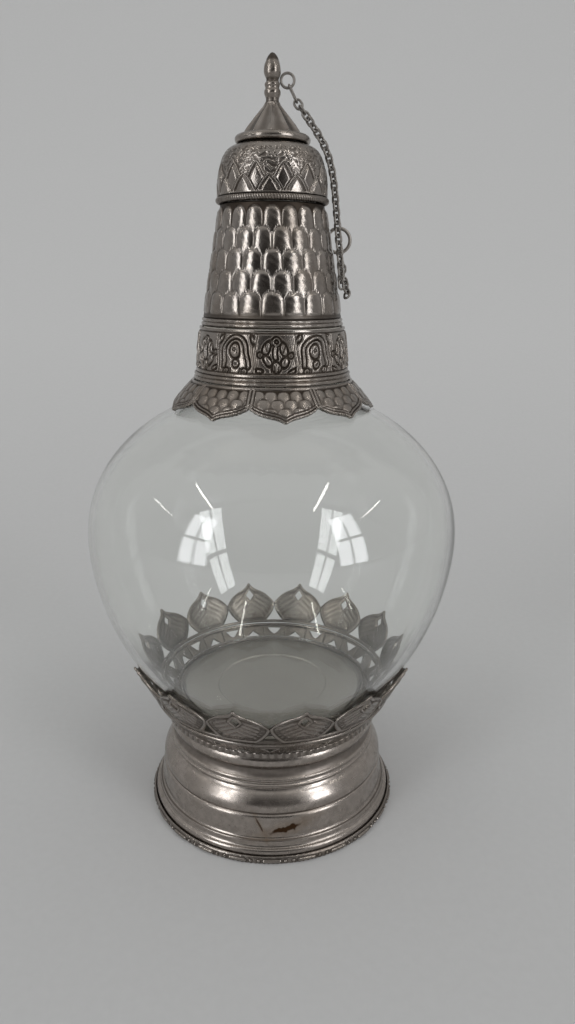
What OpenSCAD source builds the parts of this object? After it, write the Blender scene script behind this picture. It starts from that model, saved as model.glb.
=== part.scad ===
// Rosewater sprinkler: a glass flask in a raised sheet-metal foot, gallery and neck, with a lift-off cap on a chain.
// Millimetres, +Z up, origin at the centre of the bottom edge of the foot. The front is toward -Y.

/* [Sheet metal] */
// Thickness of the raised sheet metal
sheet = 0.9; // [0.7:0.1:1.1]
// Solder or cement gap between two pieces that are fixed together
seat = 0.15; // [0.1:0.05:0.3]

/* [Foot] */
// Radius of the foot at its bottom edge
foot_base_r = 49.8; // [48:0.2:52]
// Radius of the foot at its top bead
foot_top_r = 43; // [42:0.2:44]
// Height of the foot
foot_h = 41.2; // [37:0.2:46]
// Height of the nicked border round the bottom edge
border_h = 3.2; // [2.6:0.1:4]
// How far the border stands out from the foot
border_w = 1.6; // [1.2:0.1:2]
// Number of nicks in the border
border_nicks = 60; // [40:1:80]
// Radius of the hole in the top of the foot
foot_hole_r = 30; // [20:1:34]

/* [Seat plate] */
// Radius of the raised plate that the glass stands on
plate_r = 37.5; // [35:0.5:38.5]
// Height of the raised plate over the foot
plate_rise = 4.6; // [3:0.2:6]
// Radius of the ring pressed into the plate
plate_ring_r = 23; // [15:1:30]
// Depth of the ring pressed into the plate
plate_ring_depth = 0.5; // [0.3:0.1:0.6]

/* [Gallery] */
// Number of petals
petal_count = 14; // [12:1:16]
// Turn of the first petal from the front
petal_turn = 12; // [0:1:25]
// Height of the milled collar under the gallery
collar_h = 2.2; // [1.6:0.2:3]
// Outer radius of the milled collar
collar_r = 44.2; // [43.6:0.2:45]
// Width of the milled collar
collar_w = 2.6; // [2:0.2:3.2]
// Number of teeth in the milled collar
collar_teeth = 96; // [60:2:120]
// Height of the pierced band
band_h = 5.6; // [4.8:0.2:7]
// Outer radius of the wire at the foot of the petals
gallery_wire_r = 49; // [48:0.2:50]
// Diameter of the wire at the foot of the petals
gallery_wire_d = 1.4; // [1.2:0.1:1.6]
// Height of the petals over the wire
petal_h = 17.2; // [15:0.2:19]
// Outer radius at the petal tips
petal_tip_r = 57.2; // [56.8:0.2:60]
// Height of the dips between petals as a part of the petal height
petal_dip = 0.5; // [0.4:0.02:0.6]
// Half width of the pierced diamond in each petal
diamond_w = 1.9; // [1.2:0.1:2.4]
// Half height of the pierced diamond in each petal
diamond_h = 2.3; // [1.5:0.1:2.8]

/* [Glass] */
// Largest radius of the glass body
glass_r = 70; // [66:0.5:72]
// Height of the widest part over the glass foot
glass_low_h = 70; // [68:0.5:74]
// Height of the shoulder over the widest part
glass_high_h = 55.2; // [54:0.2:57]
// Depth of the egg curve that the lower half follows
glass_egg_h = 84; // [82:0.5:88]
// Radius of the flat under the glass
glass_flat_r = 34; // [30:0.5:35]
// Wall thickness of the glass
glass_wall = 2.4; // [1.8:0.1:3]
// Thickness of the bottom of the glass
glass_floor = 3.4; // [2.5:0.1:5]
// Outer radius of the glass neck
glass_neck_r = 15; // [14:0.25:15.5]
// Radius of the curve from shoulder to neck
glass_fillet = 9; // [7:0.5:10]
// Height of the glass lip over the foot of the skirt
glass_lip_h = 72; // [71:0.2:73]

/* [Skirt] */
// Number of points on the skirt
skirt_points = 9; // [8:1:10]
// Turn of the first point from the front
skirt_turn = 7; // [0:1:39]
// Height of the skirt points over the glass shoulder line
skirt_tip_z = 164; // [163.6:0.1:165]
// Outer radius at the skirt points
skirt_tip_r = 37.2; // [37:0.1:39]
// Height of the skirt
skirt_h = 10.2; // [9:0.2:12]
// Outer radius at the top of the skirt
skirt_top_r = 28.7; // [28:0.1:29.4]
// Height of the dips between points
skirt_dip = 4.2; // [3:0.2:5]

/* [Neck] */
// Height of the moulding over the skirt
low_moulding_h = 3.2; // [2.6:0.2:4]
// Height of the chased frieze
frieze_h = 15.4; // [13:0.2:18]
// Outer radius of the frieze at its bottom
frieze_low_r = 28; // [27.4:0.1:28.4]
// Outer radius of the frieze at its top
frieze_high_r = 26.3; // [25.8:0.1:27]
// Height of the moulding over the frieze
high_moulding_h = 3; // [2.4:0.2:4]
// Height of the scaled sleeve
sleeve_h = 37; // [34:0.5:40]
// Outer radius of the sleeve at its bottom
sleeve_low_r = 24.6; // [24:0.1:25.2]
// Outer radius of the sleeve at its top
sleeve_high_r = 18.1; // [17.6:0.1:18.6]
// Number of rows of scales
scale_rows = 5; // [4:1:6]
// Number of scales in a row
scale_count = 20; // [16:1:22]
// Height of one row of scales
scale_row_h = 6.75; // [5.5:0.05:7]
// How far the scale tips stand out
scale_lift = 0.6; // [0.3:0.05:0.8]
// Outer radius of the roped wire over the sleeve
rope_r = 19.6; // [19.2:0.1:20]
// Height of the roped wire
rope_h = 2.2; // [1.8:0.1:2.6]
// Number of turns in the roped wire
rope_turns = 72; // [48:2:96]
// Height of the shoulder dome
dome_h = 16; // [14:0.2:17]
// Outer radius at the bottom of the dome
dome_r = 18.7; // [18.4:0.1:19]
// Outer radius at the top of the dome
dome_top_r = 12.3; // [12:0.1:12.8]

/* [Mouth] */
// Radius of the mouth that the plug goes into
mouth_r = 8.6; // [8:0.1:8.8]
// Wall thickness of the mouth collar
mouth_wall = 2.5; // [2:0.1:2.6]
// Length of the mouth collar inside the glass neck
mouth_spigot = 6; // [4:0.5:9]
// Thickness of the sprinkling rose
rose_t = 1.4; // [1:0.1:2]
// Radius of the holes in the rose
rose_hole_r = 0.9; // [0.6:0.1:1]
// Number of holes round the middle one
rose_holes = 6; // [5:1:8]
// Radius of the ring of holes
rose_ring_r = 4.4; // [4:0.1:5.5]

/* [Cap] */
// Outer radius of the rolled edge
cap_r = 12.8; // [12.4:0.1:13.2]
// Thickness of the rolled edge
cap_roll = 3; // [2.6:0.1:3.3]
// Height of the fluted cone over the plate of the cap
cone_h = 11.8; // [10:0.2:14]
// Outer radius at the top of the cone
cone_top_r = 2.5; // [2.3:0.1:2.8]
// Number of ribs between the flutes
flute_count = 10; // [8:1:12]
// How far the ribs stand out of the cone at its bottom
flute_depth = 0.4; // [0.2:0.05:0.5]
// Radial clearance of the plug in the mouth
plug_gap = 0.1; // [0.05:0.05:0.2]
// Length of the plug
plug_len = 13; // [10:0.2:13.6]
// Radius of the stud that holds the finial, cone and plug together
stud_r = 1.25; // [1:0.05:1.3]
// Height of the finial
finial_h = 14.7; // [13:0.1:17]
// Largest radius of the finial
finial_r = 2.75; // [2.6:0.05:3]
// Height of the eye's centre over the bottom of the finial
eye_up = 6.5; // [6.3:0.1:6.8]
// Outer radius of the eye on the finial
eye_r = 2.65; // [2.4:0.05:3]
// Wire diameter of the eye
eye_wire = 0.9; // [0.8:0.05:1]

/* [Chain] */
// Outer radius of the ring on the sleeve
ring_r = 4.65; // [4.2:0.05:5]
// Wire diameter of the ring on the sleeve
ring_wire = 1.2; // [1:0.05:1.3]
// Height of the ring's centre over the bottom of the sleeve
ring_up = 25.8; // [25.4:0.1:26.2]
// How far the ring's centre stands out from the sleeve
ring_out = 3.1; // [2.9:0.1:3.4]
// Length of a chain link
link_l = 3.9; // [3.7:0.05:4]
// Width of a chain link
link_w = 3.1; // [2.9:0.05:3.2]
// Wire diameter of a chain link
link_wire = 0.8; // [0.7:0.05:0.85]
// Distance from link to link
link_pitch = 2.2; // [2.15:0.05:2.3]
// Length of the two long end links
end_l = 6.6; // [6.2:0.1:7]
// Width of the two long end links
end_w = 3.3; // [3.2:0.1:3.5]
// Wire diameter of the two long end links
end_wire = 0.7; // [0.6:0.05:0.75]

/* [Hidden] */
$fn = 96;
silver = "#a79f96";
dark_silver = "#8a8178";
foot_silver = "#b0a59c";

// Points a distance t to the inner side of a profile that runs upward
function inner(p, t) = [for (i = [0:len(p) - 1])
    let (a = p[max(i - 1, 0)], b = p[min(i + 1, len(p) - 1)], d = (b - a) / norm(b - a))
    p[i] + t * [-d[1], d[0]]];
function back(p) = [for (i = [len(p) - 1:-1:0]) p[i]];
// A sheet of thickness t behind a profile
function sheet_of(p, t) = concat(p, back(inner(p, t)));
// Outline of a ring with pointed teeth
function teeth(n, tip, root) = [for (i = [0:2 * n - 1])
    (i % 2 == 0 ? tip : root) * [cos(180 * i / n), sin(180 * i / n)]];
// Height of a pointed petal edge from its dip at u = 0 to its tip at u = 1
function ogee(u) = 0.6 * (1 - pow(1 - u, 2)) + 0.4 * pow(u, 4);

// Foot: part of the height, part of the way from the top radius to the base radius
foot_form = [[0, 1], [0.03, 1], [0.063, 0.985], [0.085, 0.97], [0.11, 0.95], [0.124, 0.9], [0.134, 0.78],
    [0.155, 0.72], [0.178, 0.71], [0.196, 0.67], [0.206, 0.58], [0.27, 0.53], [0.35, 0.46], [0.42, 0.38],
    [0.436, 0.3], [0.455, 0.37], [0.49, 0.385], [0.53, 0.32], [0.57, 0.2], [0.61, 0.04], [0.64, -0.11],
    [0.655, -0.145], [0.668, -0.08], [0.684, -0.07], [0.698, -0.145], [0.718, -0.165], [0.732, -0.105],
    [0.747, -0.12], [0.76, -0.21], [0.785, -0.295], [0.815, -0.325], [0.843, -0.295], [0.862, -0.22],
    [0.888, -0.07], [0.922, 0], [0.956, -0.03], [0.984, -0.12], [1, -0.24]];
function foot_pt(k) = [foot_top_r + k[1] * (foot_base_r - foot_top_r), k[0] * foot_h];
foot_line = [for (k = foot_form) foot_pt(k)];
foot_edge_r = foot_line[len(foot_line) - 1][0];

// Heights of the gallery pieces
plate_z = foot_h + seat;
collar_z = foot_h + seat;
band_z = collar_z + collar_h + seat;
gallery_wire_z = band_z + band_h + seat + gallery_wire_d / 2;
petal_z = gallery_wire_z + gallery_wire_d / 2 + seat;
petal_tip_z = petal_z + petal_h;
band_low_r = collar_r - 0.2;
band_high_r = gallery_wire_r - 0.5;
petal_low_r = gallery_wire_r - 0.2;
petal_pitch = 360 / petal_count;
petal_line = [for (i = [0:7])
    let (u = i / 7) [petal_low_r + (petal_tip_r - petal_low_r) * (0.86 * u + 0.14 * u * u),
        petal_z + petal_h * u]];
dip_z = petal_z + petal_h * petal_dip;

// Glass
glass_z = foot_h + seat + plate_rise + seat;
belly_z = glass_z + glass_low_h;
neck_join_r = glass_neck_r + glass_fillet;
neck_join_z = belly_z + glass_high_h * pow(1 - pow(neck_join_r / glass_r, 2), 1 / 2.1);
lip_z = skirt_tip_z + glass_lip_h;
low_end = asin((glass_low_h - 2.2) / glass_egg_h);
high_end = asin(pow(1 - pow(neck_join_r / glass_r, 2), 1 / 2.1));
function low_pt(a) = [glass_r * sqrt(1 - pow(sin(a), 1.8)), belly_z - glass_egg_h * sin(a)];
function high_pt(a) = [glass_r * sqrt(1 - pow(sin(a), 2.1)), belly_z + glass_high_h * sin(a)];
glass_side = concat(
    [for (i = [14:-1:1]) low_pt(low_end * i / 14)],
    [for (i = [0:15]) high_pt(high_end * i / 15)],
    [for (a = [15:15:90])
        [glass_neck_r + glass_fillet * (1 - sin(a)), neck_join_z + glass_fillet * (1 - cos(a))]],
    [[glass_neck_r, lip_z]]);
heel = glass_side[0];
glass_foot = [[0, glass_z], [glass_flat_r, glass_z], (heel + [glass_flat_r, glass_z]) / 2 + [0.9, -0.5]];
glass_hollow = inner(glass_side, glass_wall);
hollow_in = [for (p = glass_hollow) if (p[1] > glass_z + glass_floor + 1) p];

// Neck heights
skirt_top_z = skirt_tip_z + skirt_h;
low_moulding_z = skirt_top_z + seat;
frieze_z = low_moulding_z + low_moulding_h + seat;
high_moulding_z = frieze_z + frieze_h + seat;
sleeve_z = high_moulding_z + high_moulding_h + seat;
sleeve_top_z = sleeve_z + sleeve_h;
rope_z = sleeve_top_z + seat;
dome_z = rope_z + rope_h + seat;
dome_top_z = dome_z + dome_h;
skirt_pitch = 360 / skirt_points;
skirt_line = [for (i = [0:6])
    let (u = i / 6) [skirt_tip_r + (skirt_top_r - skirt_tip_r) * (0.78 * u + 0.22 * u * u),
        skirt_tip_z + skirt_h * pow(u, 0.94)]];
function frieze_r(z) = frieze_low_r + (frieze_high_r - frieze_low_r) * (z - frieze_z) / frieze_h;
function sleeve_r(z) = sleeve_low_r + (sleeve_high_r - sleeve_low_r) * (z - sleeve_z) / sleeve_h;
function dome_pt(t) = [dome_top_r + (dome_r - dome_top_r) * sqrt(1 - pow(t, 3.2)), dome_z + dome_h * t];
dome_line = [for (t = [0, 0.15, 0.3, 0.45, 0.57, 0.67, 0.75, 0.82, 0.88, 0.93, 0.97, 1]) dome_pt(t)];
low_moulding_r = frieze_low_r + 0.5;
high_moulding_r = sleeve_low_r + 0.7;

// Mouth and cap heights
mouth_top_z = dome_top_z;
rose_z = lip_z + seat;
cap_z = dome_top_z + 0.3;
cap_plate_z = cap_z + 1;
cone_z = cap_plate_z + seat;
finial_z = cone_z + cone_h + seat;
eye_z = finial_z + eye_up;
stud_head = 0.7;
plug_z = cap_z - seat - plug_len;
stud_top_z = finial_z + 0.4 * finial_h;
cone_base_r = cap_r - cap_roll - seat;
cone_line = [for (p = [[0, 1], [0.15, 0.995], [0.32, 0.84], [0.48, 0.63], [0.64, 0.42], [0.8, 0.2], [0.93, 0.04], [1, 0]])
    [cone_top_r + p[1] * (cone_base_r - cone_top_r), cone_z + p[0] * cone_h]];
finial_form = [[0, 0.8], [0.08, 0.8], [0.12, 0.9], [0.17, 1], [0.23, 0.98], [0.27, 0.86], [0.3, 0.84],
    [0.34, 0.92], [0.38, 0.9], [0.42, 0.76], [0.46, 0.74], [0.5, 0.84], [0.57, 1], [0.68, 1], [0.8, 0.84],
    [0.92, 0.54], [0.98, 0.25], [1, 0]];
finial_line = [for (p = finial_form) [finial_r * p[1], finial_z + finial_h * p[0]]];

// Chain
eye_x = 0.8 * finial_r + eye_r + seat;
eye_mid = eye_r - eye_wire / 2;
eye_hang = eye_mid - eye_wire / 2 - end_wire / 2 - 0.05;
up_pin = [eye_x + eye_hang * cos(-72), 0, eye_z + eye_hang * sin(-72)];
up_end_dir = [0.47, 0, -0.883];
up_end_low = up_pin + (end_l - end_wire) * up_end_dir / norm(up_end_dir);
ring_z = sleeve_z + ring_up;
ring_x = sleeve_r(ring_z) + ring_out;
ring_mid = ring_r - ring_wire / 2;
ring_hang = ring_mid - ring_wire / 2 - end_wire / 2 - 0.05;
low_pin = [ring_x + ring_hang * cos(-70), 0, ring_z + ring_hang * sin(-70)];
low_end_low = low_pin + [0.5, 0, -sqrt(pow(end_l - end_wire, 2) - 0.25)];
// Route of the upper strand, down from its end link
up_route = concat([up_end_low], [[10.5, -0.2, 262.4], [13.1, -0.5, 258.9], [15.6, -0.8, 255.4], [17.8, -1.2, 251.7],
    [19.5, -1.7, 247.3], [20.6, -2.2, 242.6], [21.3, -2.7, 237.8], [21.8, -3.1, 233], [22.1, -3.6, 229.8],
    [22.4, -4.2, 226.5], [22.7, -4.9, 223.2], [23.2, -6, 218.4], [23.7, -7.6, 211.6], [23.8, -9, 206], [23.8, -9.4, 204]]);
// Route of the lower strand, down from its end link
low_route = concat([low_end_low], [[24.9, -0.2, 211.4], [25.3, -1.6, 209], [25.9, -3.5, 206.8], [26.2, -5.2, 205],
    [26.1, -7, 203.5], [25.7, -8.8, 202.2]]);
// Length along a route up to each of its points
function lengths(p, i = 0, s = 0) = i >= len(p) - 1 ? [s] :
    concat([s], lengths(p, i + 1, s + norm(p[i + 1] - p[i])));
function leg(l, s, i = 0) = i >= len(l) - 2 || l[i + 1] > s ? i : leg(l, s, i + 1);
function at(p, l, s) = let (i = leg(l, s), t = (s - l[i]) / (l[i + 1] - l[i])) p[i] + t * (p[i + 1] - p[i]);
up_len = lengths(up_route);
low_len = lengths(low_route);
link_hook = link_l / 2 - link_wire - end_wire / 2 - 0.12;
up_links = 29;
low_links = 6;

// A radial cutter whose outline lies in the plane that faces direction a
module radial(a, from, to) {
    rotate([0, 0, a])
        translate([0, -from, 0])
            rotate([90, 0, 0])
                linear_extrude(height = to - from)
                    children();
}

module foot() {
    color(foot_silver)
        rotate_extrude()
            union() {
                polygon(sheet_of(foot_line, sheet));
                translate([foot_hole_r, foot_h - sheet])
                    square([foot_edge_r - foot_hole_r, sheet]);
            }
}

module foot_border() {
    color(silver)
        difference() {
            rotate_extrude()
                polygon([[foot_base_r + seat, 0], [foot_base_r + border_w - 0.5, 0],
                    [foot_base_r + border_w, 0.8], [foot_base_r + border_w, border_h - 0.9],
                    [foot_base_r + border_w - 0.6, border_h], [foot_base_r + seat, border_h]]);
            for (i = [0:border_nicks - 1])
                rotate([0, 0, 360 * i / border_nicks])
                    translate([foot_base_r + border_w, 0, border_h / 2])
                        cylinder(h = border_h + 2, r = i % 3 == 0 ? 0.55 : 0.4, center = true, $fn = 4);
        }
}

module seat_plate() {
    color(dark_silver)
        rotate_extrude()
            polygon([[0, plate_z + plate_rise - sheet - plate_ring_depth],
                [plate_ring_r - 0.6, plate_z + plate_rise - sheet - plate_ring_depth],
                [plate_ring_r, plate_z + plate_rise - sheet],
                [plate_r - sheet, plate_z + plate_rise - sheet],
                [plate_r - 0.3, plate_z],
                [collar_r - collar_w - seat, plate_z],
                [collar_r - collar_w - seat, plate_z + sheet],
                [plate_r + 0.5, plate_z + sheet],
                [plate_r, plate_z + plate_rise - 0.5],
                [plate_r - 0.5, plate_z + plate_rise],
                [plate_ring_r, plate_z + plate_rise],
                [plate_ring_r - 0.6, plate_z + plate_rise - plate_ring_depth],
                [0, plate_z + plate_rise - plate_ring_depth]]);
}

module gallery_collar() {
    color(dark_silver)
        translate([0, 0, collar_z])
            linear_extrude(height = collar_h)
                difference() {
                    polygon(teeth(collar_teeth, collar_r, collar_r - 0.5));
                    circle(r = collar_r - collar_w);
                }
}

module gallery_band() {
    hole_w = 0.34 * petal_pitch * PI / 180 * band_high_r;
    color(silver)
        difference() {
            rotate_extrude()
                polygon([[band_low_r - sheet, band_z], [band_low_r, band_z],
                    [band_high_r, band_z + band_h], [band_high_r - sheet, band_z + band_h]]);
            for (i = [0:petal_count - 1]) {
                radial(petal_turn + (i + 0.5) * petal_pitch, band_low_r - 6, band_high_r + 4)
                    polygon([[0, band_z + 1], [hole_w, band_z + band_h - 0.8], [-hole_w, band_z + band_h - 0.8]]);
                radial(petal_turn + i * petal_pitch, band_low_r - 6, band_high_r + 4)
                    polygon([[0, band_z + band_h - 1], [0.8 * hole_w, band_z + 0.8], [-0.8 * hole_w, band_z + 0.8]]);
            }
        }
}

module gallery_wire() {
    color(silver)
        rotate_extrude()
            translate([gallery_wire_r - gallery_wire_d / 2, gallery_wire_z])
                circle(r = gallery_wire_d / 2, $fn = 32);
}

module gallery_petals() {
    half_w = petal_tip_r * sin(petal_pitch / 2) - 0.35;
    gap_w = petal_low_r * sin(petal_pitch / 2);
    color(silver)
        difference() {
            rotate_extrude()
                polygon(sheet_of(petal_line, sheet));
            for (i = [0:petal_count - 1]) {
                radial(petal_turn + (i + 0.5) * petal_pitch, petal_low_r - 8, petal_tip_r + 5)
                    polygon(concat(
                        [for (k = [-7:7]) [half_w * k / 7,
                            dip_z + (petal_tip_z - dip_z) * ogee(abs(k) / 7)]],
                        [[half_w, petal_tip_z + 3], [-half_w, petal_tip_z + 3]]));
                radial(petal_turn + (i + 0.5) * petal_pitch, petal_low_r - 8, petal_tip_r + 5)
                    polygon([[0, dip_z - 1.1], [0.36 * gap_w, petal_z + 1.2], [-0.36 * gap_w, petal_z + 1.2]]);
                radial(petal_turn + i * petal_pitch, petal_low_r - 8, petal_tip_r + 5)
                    translate([0, petal_z + 0.7 * petal_h])
                        polygon([[0, diamond_h], [diamond_w, 0], [0, -diamond_h], [-diamond_w, 0]]);
            }
        }
}

module glass_bottle() {
    color("#cfe0d8", 0.35)
        rotate_extrude()
            difference() {
                polygon(concat(glass_foot, glass_side, [[0, lip_z]]));
                polygon(concat([[0, glass_z + glass_floor], [hollow_in[0][0] - 1.5, glass_z + glass_floor]],
                    hollow_in, [[glass_neck_r - glass_wall, lip_z + 1], [0, lip_z + 1]]));
            }
}

module neck_skirt() {
    half_w = skirt_tip_r * sin(skirt_pitch / 2) - 0.4;
    color(silver)
        difference() {
            rotate_extrude()
                polygon(sheet_of(skirt_line, sheet));
            for (i = [0:skirt_points - 1])
                radial(skirt_turn + (i + 0.5) * skirt_pitch, skirt_top_r - 6, skirt_tip_r + 5)
                    polygon(concat(
                        [for (k = [-7:7]) [half_w * k / 7,
                            skirt_tip_z + skirt_dip * (1 - ogee(abs(k) / 7))]],
                        [[half_w, skirt_tip_z - 3], [-half_w, skirt_tip_z - 3]]));
        }
}

// A plain moulding of two rounded wires on a band
module moulding(r, z, h) {
    rotate_extrude()
        union() {
            translate([r - 1.6, z])
                square([1.2, h]);
            translate([r - 0.75, z + 0.3 * h])
                circle(r = 0.28 * h, $fn = 32);
            translate([r - 0.75, z + 0.72 * h])
                circle(r = 0.26 * h, $fn = 32);
        }
}

module skirt_moulding() {
    color(silver)
        moulding(low_moulding_r, low_moulding_z, low_moulding_h);
}

module frieze_band() {
    color(dark_silver)
        rotate_extrude()
            polygon(sheet_of([[frieze_low_r, frieze_z], [frieze_low_r, frieze_z + 0.9],
                [frieze_r(frieze_z + 1.1) - 0.45, frieze_z + 1.1],
                [frieze_r(frieze_z + frieze_h - 1.1) - 0.45, frieze_z + frieze_h - 1.1],
                [frieze_high_r, frieze_z + frieze_h - 0.9], [frieze_high_r, frieze_z + frieze_h]], sheet));
}

module frieze_moulding() {
    color(silver)
        moulding(high_moulding_r, high_moulding_z, high_moulding_h);
}

module scale_sleeve() {
    scale_w = 2 * (sleeve_low_r + sleeve_high_r) / 2 * sin(180 / scale_count) * 0.9;
    color(silver)
        union() {
            rotate_extrude()
                polygon([[sleeve_low_r - sheet, sleeve_z], [sleeve_low_r, sleeve_z],
                    [sleeve_high_r, sleeve_top_z], [sleeve_high_r - sheet, sleeve_top_z]]);
            for (j = [0:scale_rows - 1]) {
                top = sleeve_top_z - 1.2 - j * scale_row_h;
                low = max(top - 1.25 * scale_row_h, sleeve_z + 1);
                intersection() {
                    rotate_extrude()
                        polygon([[sleeve_r(low) - 0.3, low], [sleeve_r(low) + 0.08, low],
                            [sleeve_r(top) + scale_lift, top], [sleeve_r(top) - 0.3, top]]);
                    for (i = [0:scale_count - 1])
                        radial((i + 0.5 * (j % 2)) * 360 / scale_count, 8, sleeve_low_r + 4)
                            union() {
                                translate([0, top - scale_w / 2])
                                    circle(r = scale_w / 2, $fn = 32);
                                translate([-scale_w / 2, low - 1])
                                    square([scale_w, top - low + 1 - scale_w / 2]);
                            }
                }
            }
        }
}

module rope_wire() {
    color(silver)
        translate([0, 0, rope_z])
            linear_extrude(height = rope_h)
                difference() {
                    polygon(teeth(rope_turns, rope_r, rope_r - 0.45));
                    circle(r = sleeve_high_r - sheet);
                }
}

module shoulder_dome() {
    color(dark_silver)
        rotate_extrude()
            polygon(sheet_of(dome_line, sheet));
}

module neck_cement() {
    gap = sheet + seat;
    color("#d8d2c4")
        rotate_extrude()
            polygon([[glass_neck_r + seat, neck_join_z + glass_fillet + 1],
                [skirt_top_r - gap - 2.2, skirt_top_z - 1.2],
                [low_moulding_r - 1.6 - seat, low_moulding_z],
                [low_moulding_r - 1.6 - seat, low_moulding_z + low_moulding_h],
                [frieze_low_r - 0.6 - gap, frieze_z],
                [frieze_high_r - 0.6 - gap, frieze_z + frieze_h],
                [high_moulding_r - 1.6 - seat, high_moulding_z],
                [sleeve_low_r - gap, sleeve_z],
                [sleeve_high_r - gap, sleeve_top_z],
                [sleeve_high_r - gap, rope_z],
                [glass_neck_r + seat, rope_z]]);
}

module mouth_collar() {
    color(dark_silver)
        rotate_extrude()
            polygon([[mouth_r - 1, lip_z - mouth_spigot],
                [glass_neck_r - glass_wall - seat, lip_z - mouth_spigot],
                [glass_neck_r - glass_wall - seat, lip_z + seat],
                [glass_neck_r, lip_z + seat],
                [glass_neck_r, lip_z + seat + 1],
                [mouth_r + mouth_wall, lip_z + seat + 1],
                [mouth_r + mouth_wall, mouth_top_z],
                [mouth_r, mouth_top_z],
                [mouth_r, rose_z],
                [mouth_r - 1, rose_z]]);
}

module sprinkler_rose() {
    color(silver)
        difference() {
            translate([0, 0, rose_z])
                cylinder(h = rose_t, r = mouth_r - 0.05);
            translate([0, 0, rose_z - 1])
                cylinder(h = rose_t + 2, r = rose_hole_r, $fn = 24);
            for (i = [0:rose_holes - 1])
                rotate([0, 0, 360 * i / rose_holes])
                    translate([rose_ring_r, 0, rose_z - 1])
                        cylinder(h = rose_t + 2, r = rose_hole_r, $fn = 24);
        }
}

module sleeve_ring() {
    color(dark_silver)
        difference() {
            translate([ring_x, 0, ring_z])
                rotate([90, 0, 0])
                    rotate_extrude()
                        translate([ring_mid, 0])
                            circle(r = ring_wire / 2, $fn = 24);
            rotate_extrude()
                polygon([[0, sleeve_z], [sleeve_low_r + scale_lift + seat, sleeve_z],
                    [sleeve_high_r + scale_lift + seat, sleeve_top_z], [0, sleeve_top_z]]);
        }
}

module cap_rim() {
    color(silver)
        rotate_extrude()
            union() {
                translate([stud_r + 0.05, cap_z])
                    square([cap_r - cap_roll / 2 - stud_r - 0.05, cap_plate_z - cap_z]);
                translate([cap_r - cap_roll / 2, cap_z + cap_roll / 2])
                    circle(r = cap_roll / 2, $fn = 48);
            }
}

module cap_cone() {
    low = [cone_base_r - 0.5, 0, cone_z + 0.17 * cone_h];
    top = [cone_top_r, 0, cone_z + 0.92 * cone_h];
    color(dark_silver)
        difference() {
            union() {
                rotate_extrude()
                    polygon(concat([[0, cone_z]], cone_line, [[0, cone_z + cone_h]]));
                for (i = [0:flute_count - 1])
                    rotate([0, 0, 360 * (i + 0.5) / flute_count])
                        translate(low)
                            rotate([0, atan2(top[0] - low[0], top[2] - low[2]), 0])
                                cylinder(h = norm(top - low), r1 = flute_depth + 0.9, r2 = 0.4, $fn = 32);
            }
            rotate_extrude()
                polygon(concat([[0, cone_z - 1]],
                    [for (p = inner(cone_line, sheet)) [max(p[0], stud_r + 0.05), p[1]]],
                    [[stud_r + 0.05, cone_z + cone_h + 1], [0, cone_z + cone_h + 1]]));
        }
}

module cap_plug() {
    color("#b08a5c")
        rotate_extrude()
            polygon([[stud_r + 0.05, plug_z], [mouth_r - plug_gap - 0.8, plug_z],
                [mouth_r - plug_gap, plug_z + 1], [mouth_r - plug_gap, plug_z + plug_len],
                [stud_r + 0.05, plug_z + plug_len]]);
}

module cap_stud() {
    color(dark_silver)
        rotate_extrude()
            polygon([[0, plug_z - stud_head - 0.1], [3.2, plug_z - stud_head - 0.1], [3.2, plug_z - 0.1],
                [stud_r, plug_z - 0.1], [stud_r, stud_top_z], [0, stud_top_z]]);
}

module finial() {
    color(silver)
        difference() {
            rotate_extrude()
                polygon(concat([[0, finial_z]], finial_line));
            translate([0, 0, finial_z - 1])
                cylinder(h = stud_top_z - finial_z + 1.1, r = stud_r + 0.05, $fn = 32);
        }
}

module finial_eye() {
    color(dark_silver)
        translate([eye_x, 0, eye_z])
            rotate([90, 0, 0])
                rotate_extrude()
                    translate([eye_mid, 0])
                        circle(r = eye_wire / 2, $fn = 24);
}

// One oval link of round wire, long in Z, flat in Y
module link(l, w, d) {
    r = (w - d) / 2;
    s = l - w;
    for (k = [0, 1])
        mirror([0, 0, k])
            translate([0, 0, s / 2])
                rotate([90, 0, 0])
                    rotate_extrude(angle = 180)
                        translate([r, 0])
                            circle(r = d / 2, $fn = 24);
    for (x = [-r, r])
        translate([x, 0, -s / 2])
            cylinder(h = s, r = d / 2, $fn = 24);
}

// A link laid from point a toward point b, with its middle halfway and turned about its length
module link_from(a, b, turn, l, w, d) {
    v = (b - a) / norm(b - a);
    translate((a + b) / 2)
        rotate([-asin(v[1]), atan2(v[0], v[2]), 0])
            rotate([0, 0, turn])
                link(l, w, d);
}

// Turn of link i: square to the long end link, then a quarter turn from link to link
function link_turn(i) = i == 0 ? 0 : i == 1 ? 80 : i == 2 ? 150 : 225 + 90 * (i - 3);

module strand(p, l, n) {
    for (i = [0:n - 1])
        let (s = link_hook + i * link_pitch)
            link_from(at(p, l, s - 0.9), at(p, l, s + 0.9), link_turn(i), link_l, link_w, link_wire);
}

module cap_end_link() {
    color(dark_silver)
        link_from(up_pin, up_end_low, 90, end_l, end_w, end_wire);
}

module chain_upper_links() {
    color(dark_silver)
        strand(up_route, up_len, up_links);
}

module ring_end_link() {
    color(dark_silver)
        link_from(low_pin, low_end_low, 90, end_l, end_w, end_wire);
}

module chain_lower_links() {
    color(dark_silver)
        strand(low_route, low_len, low_links);
}

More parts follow.
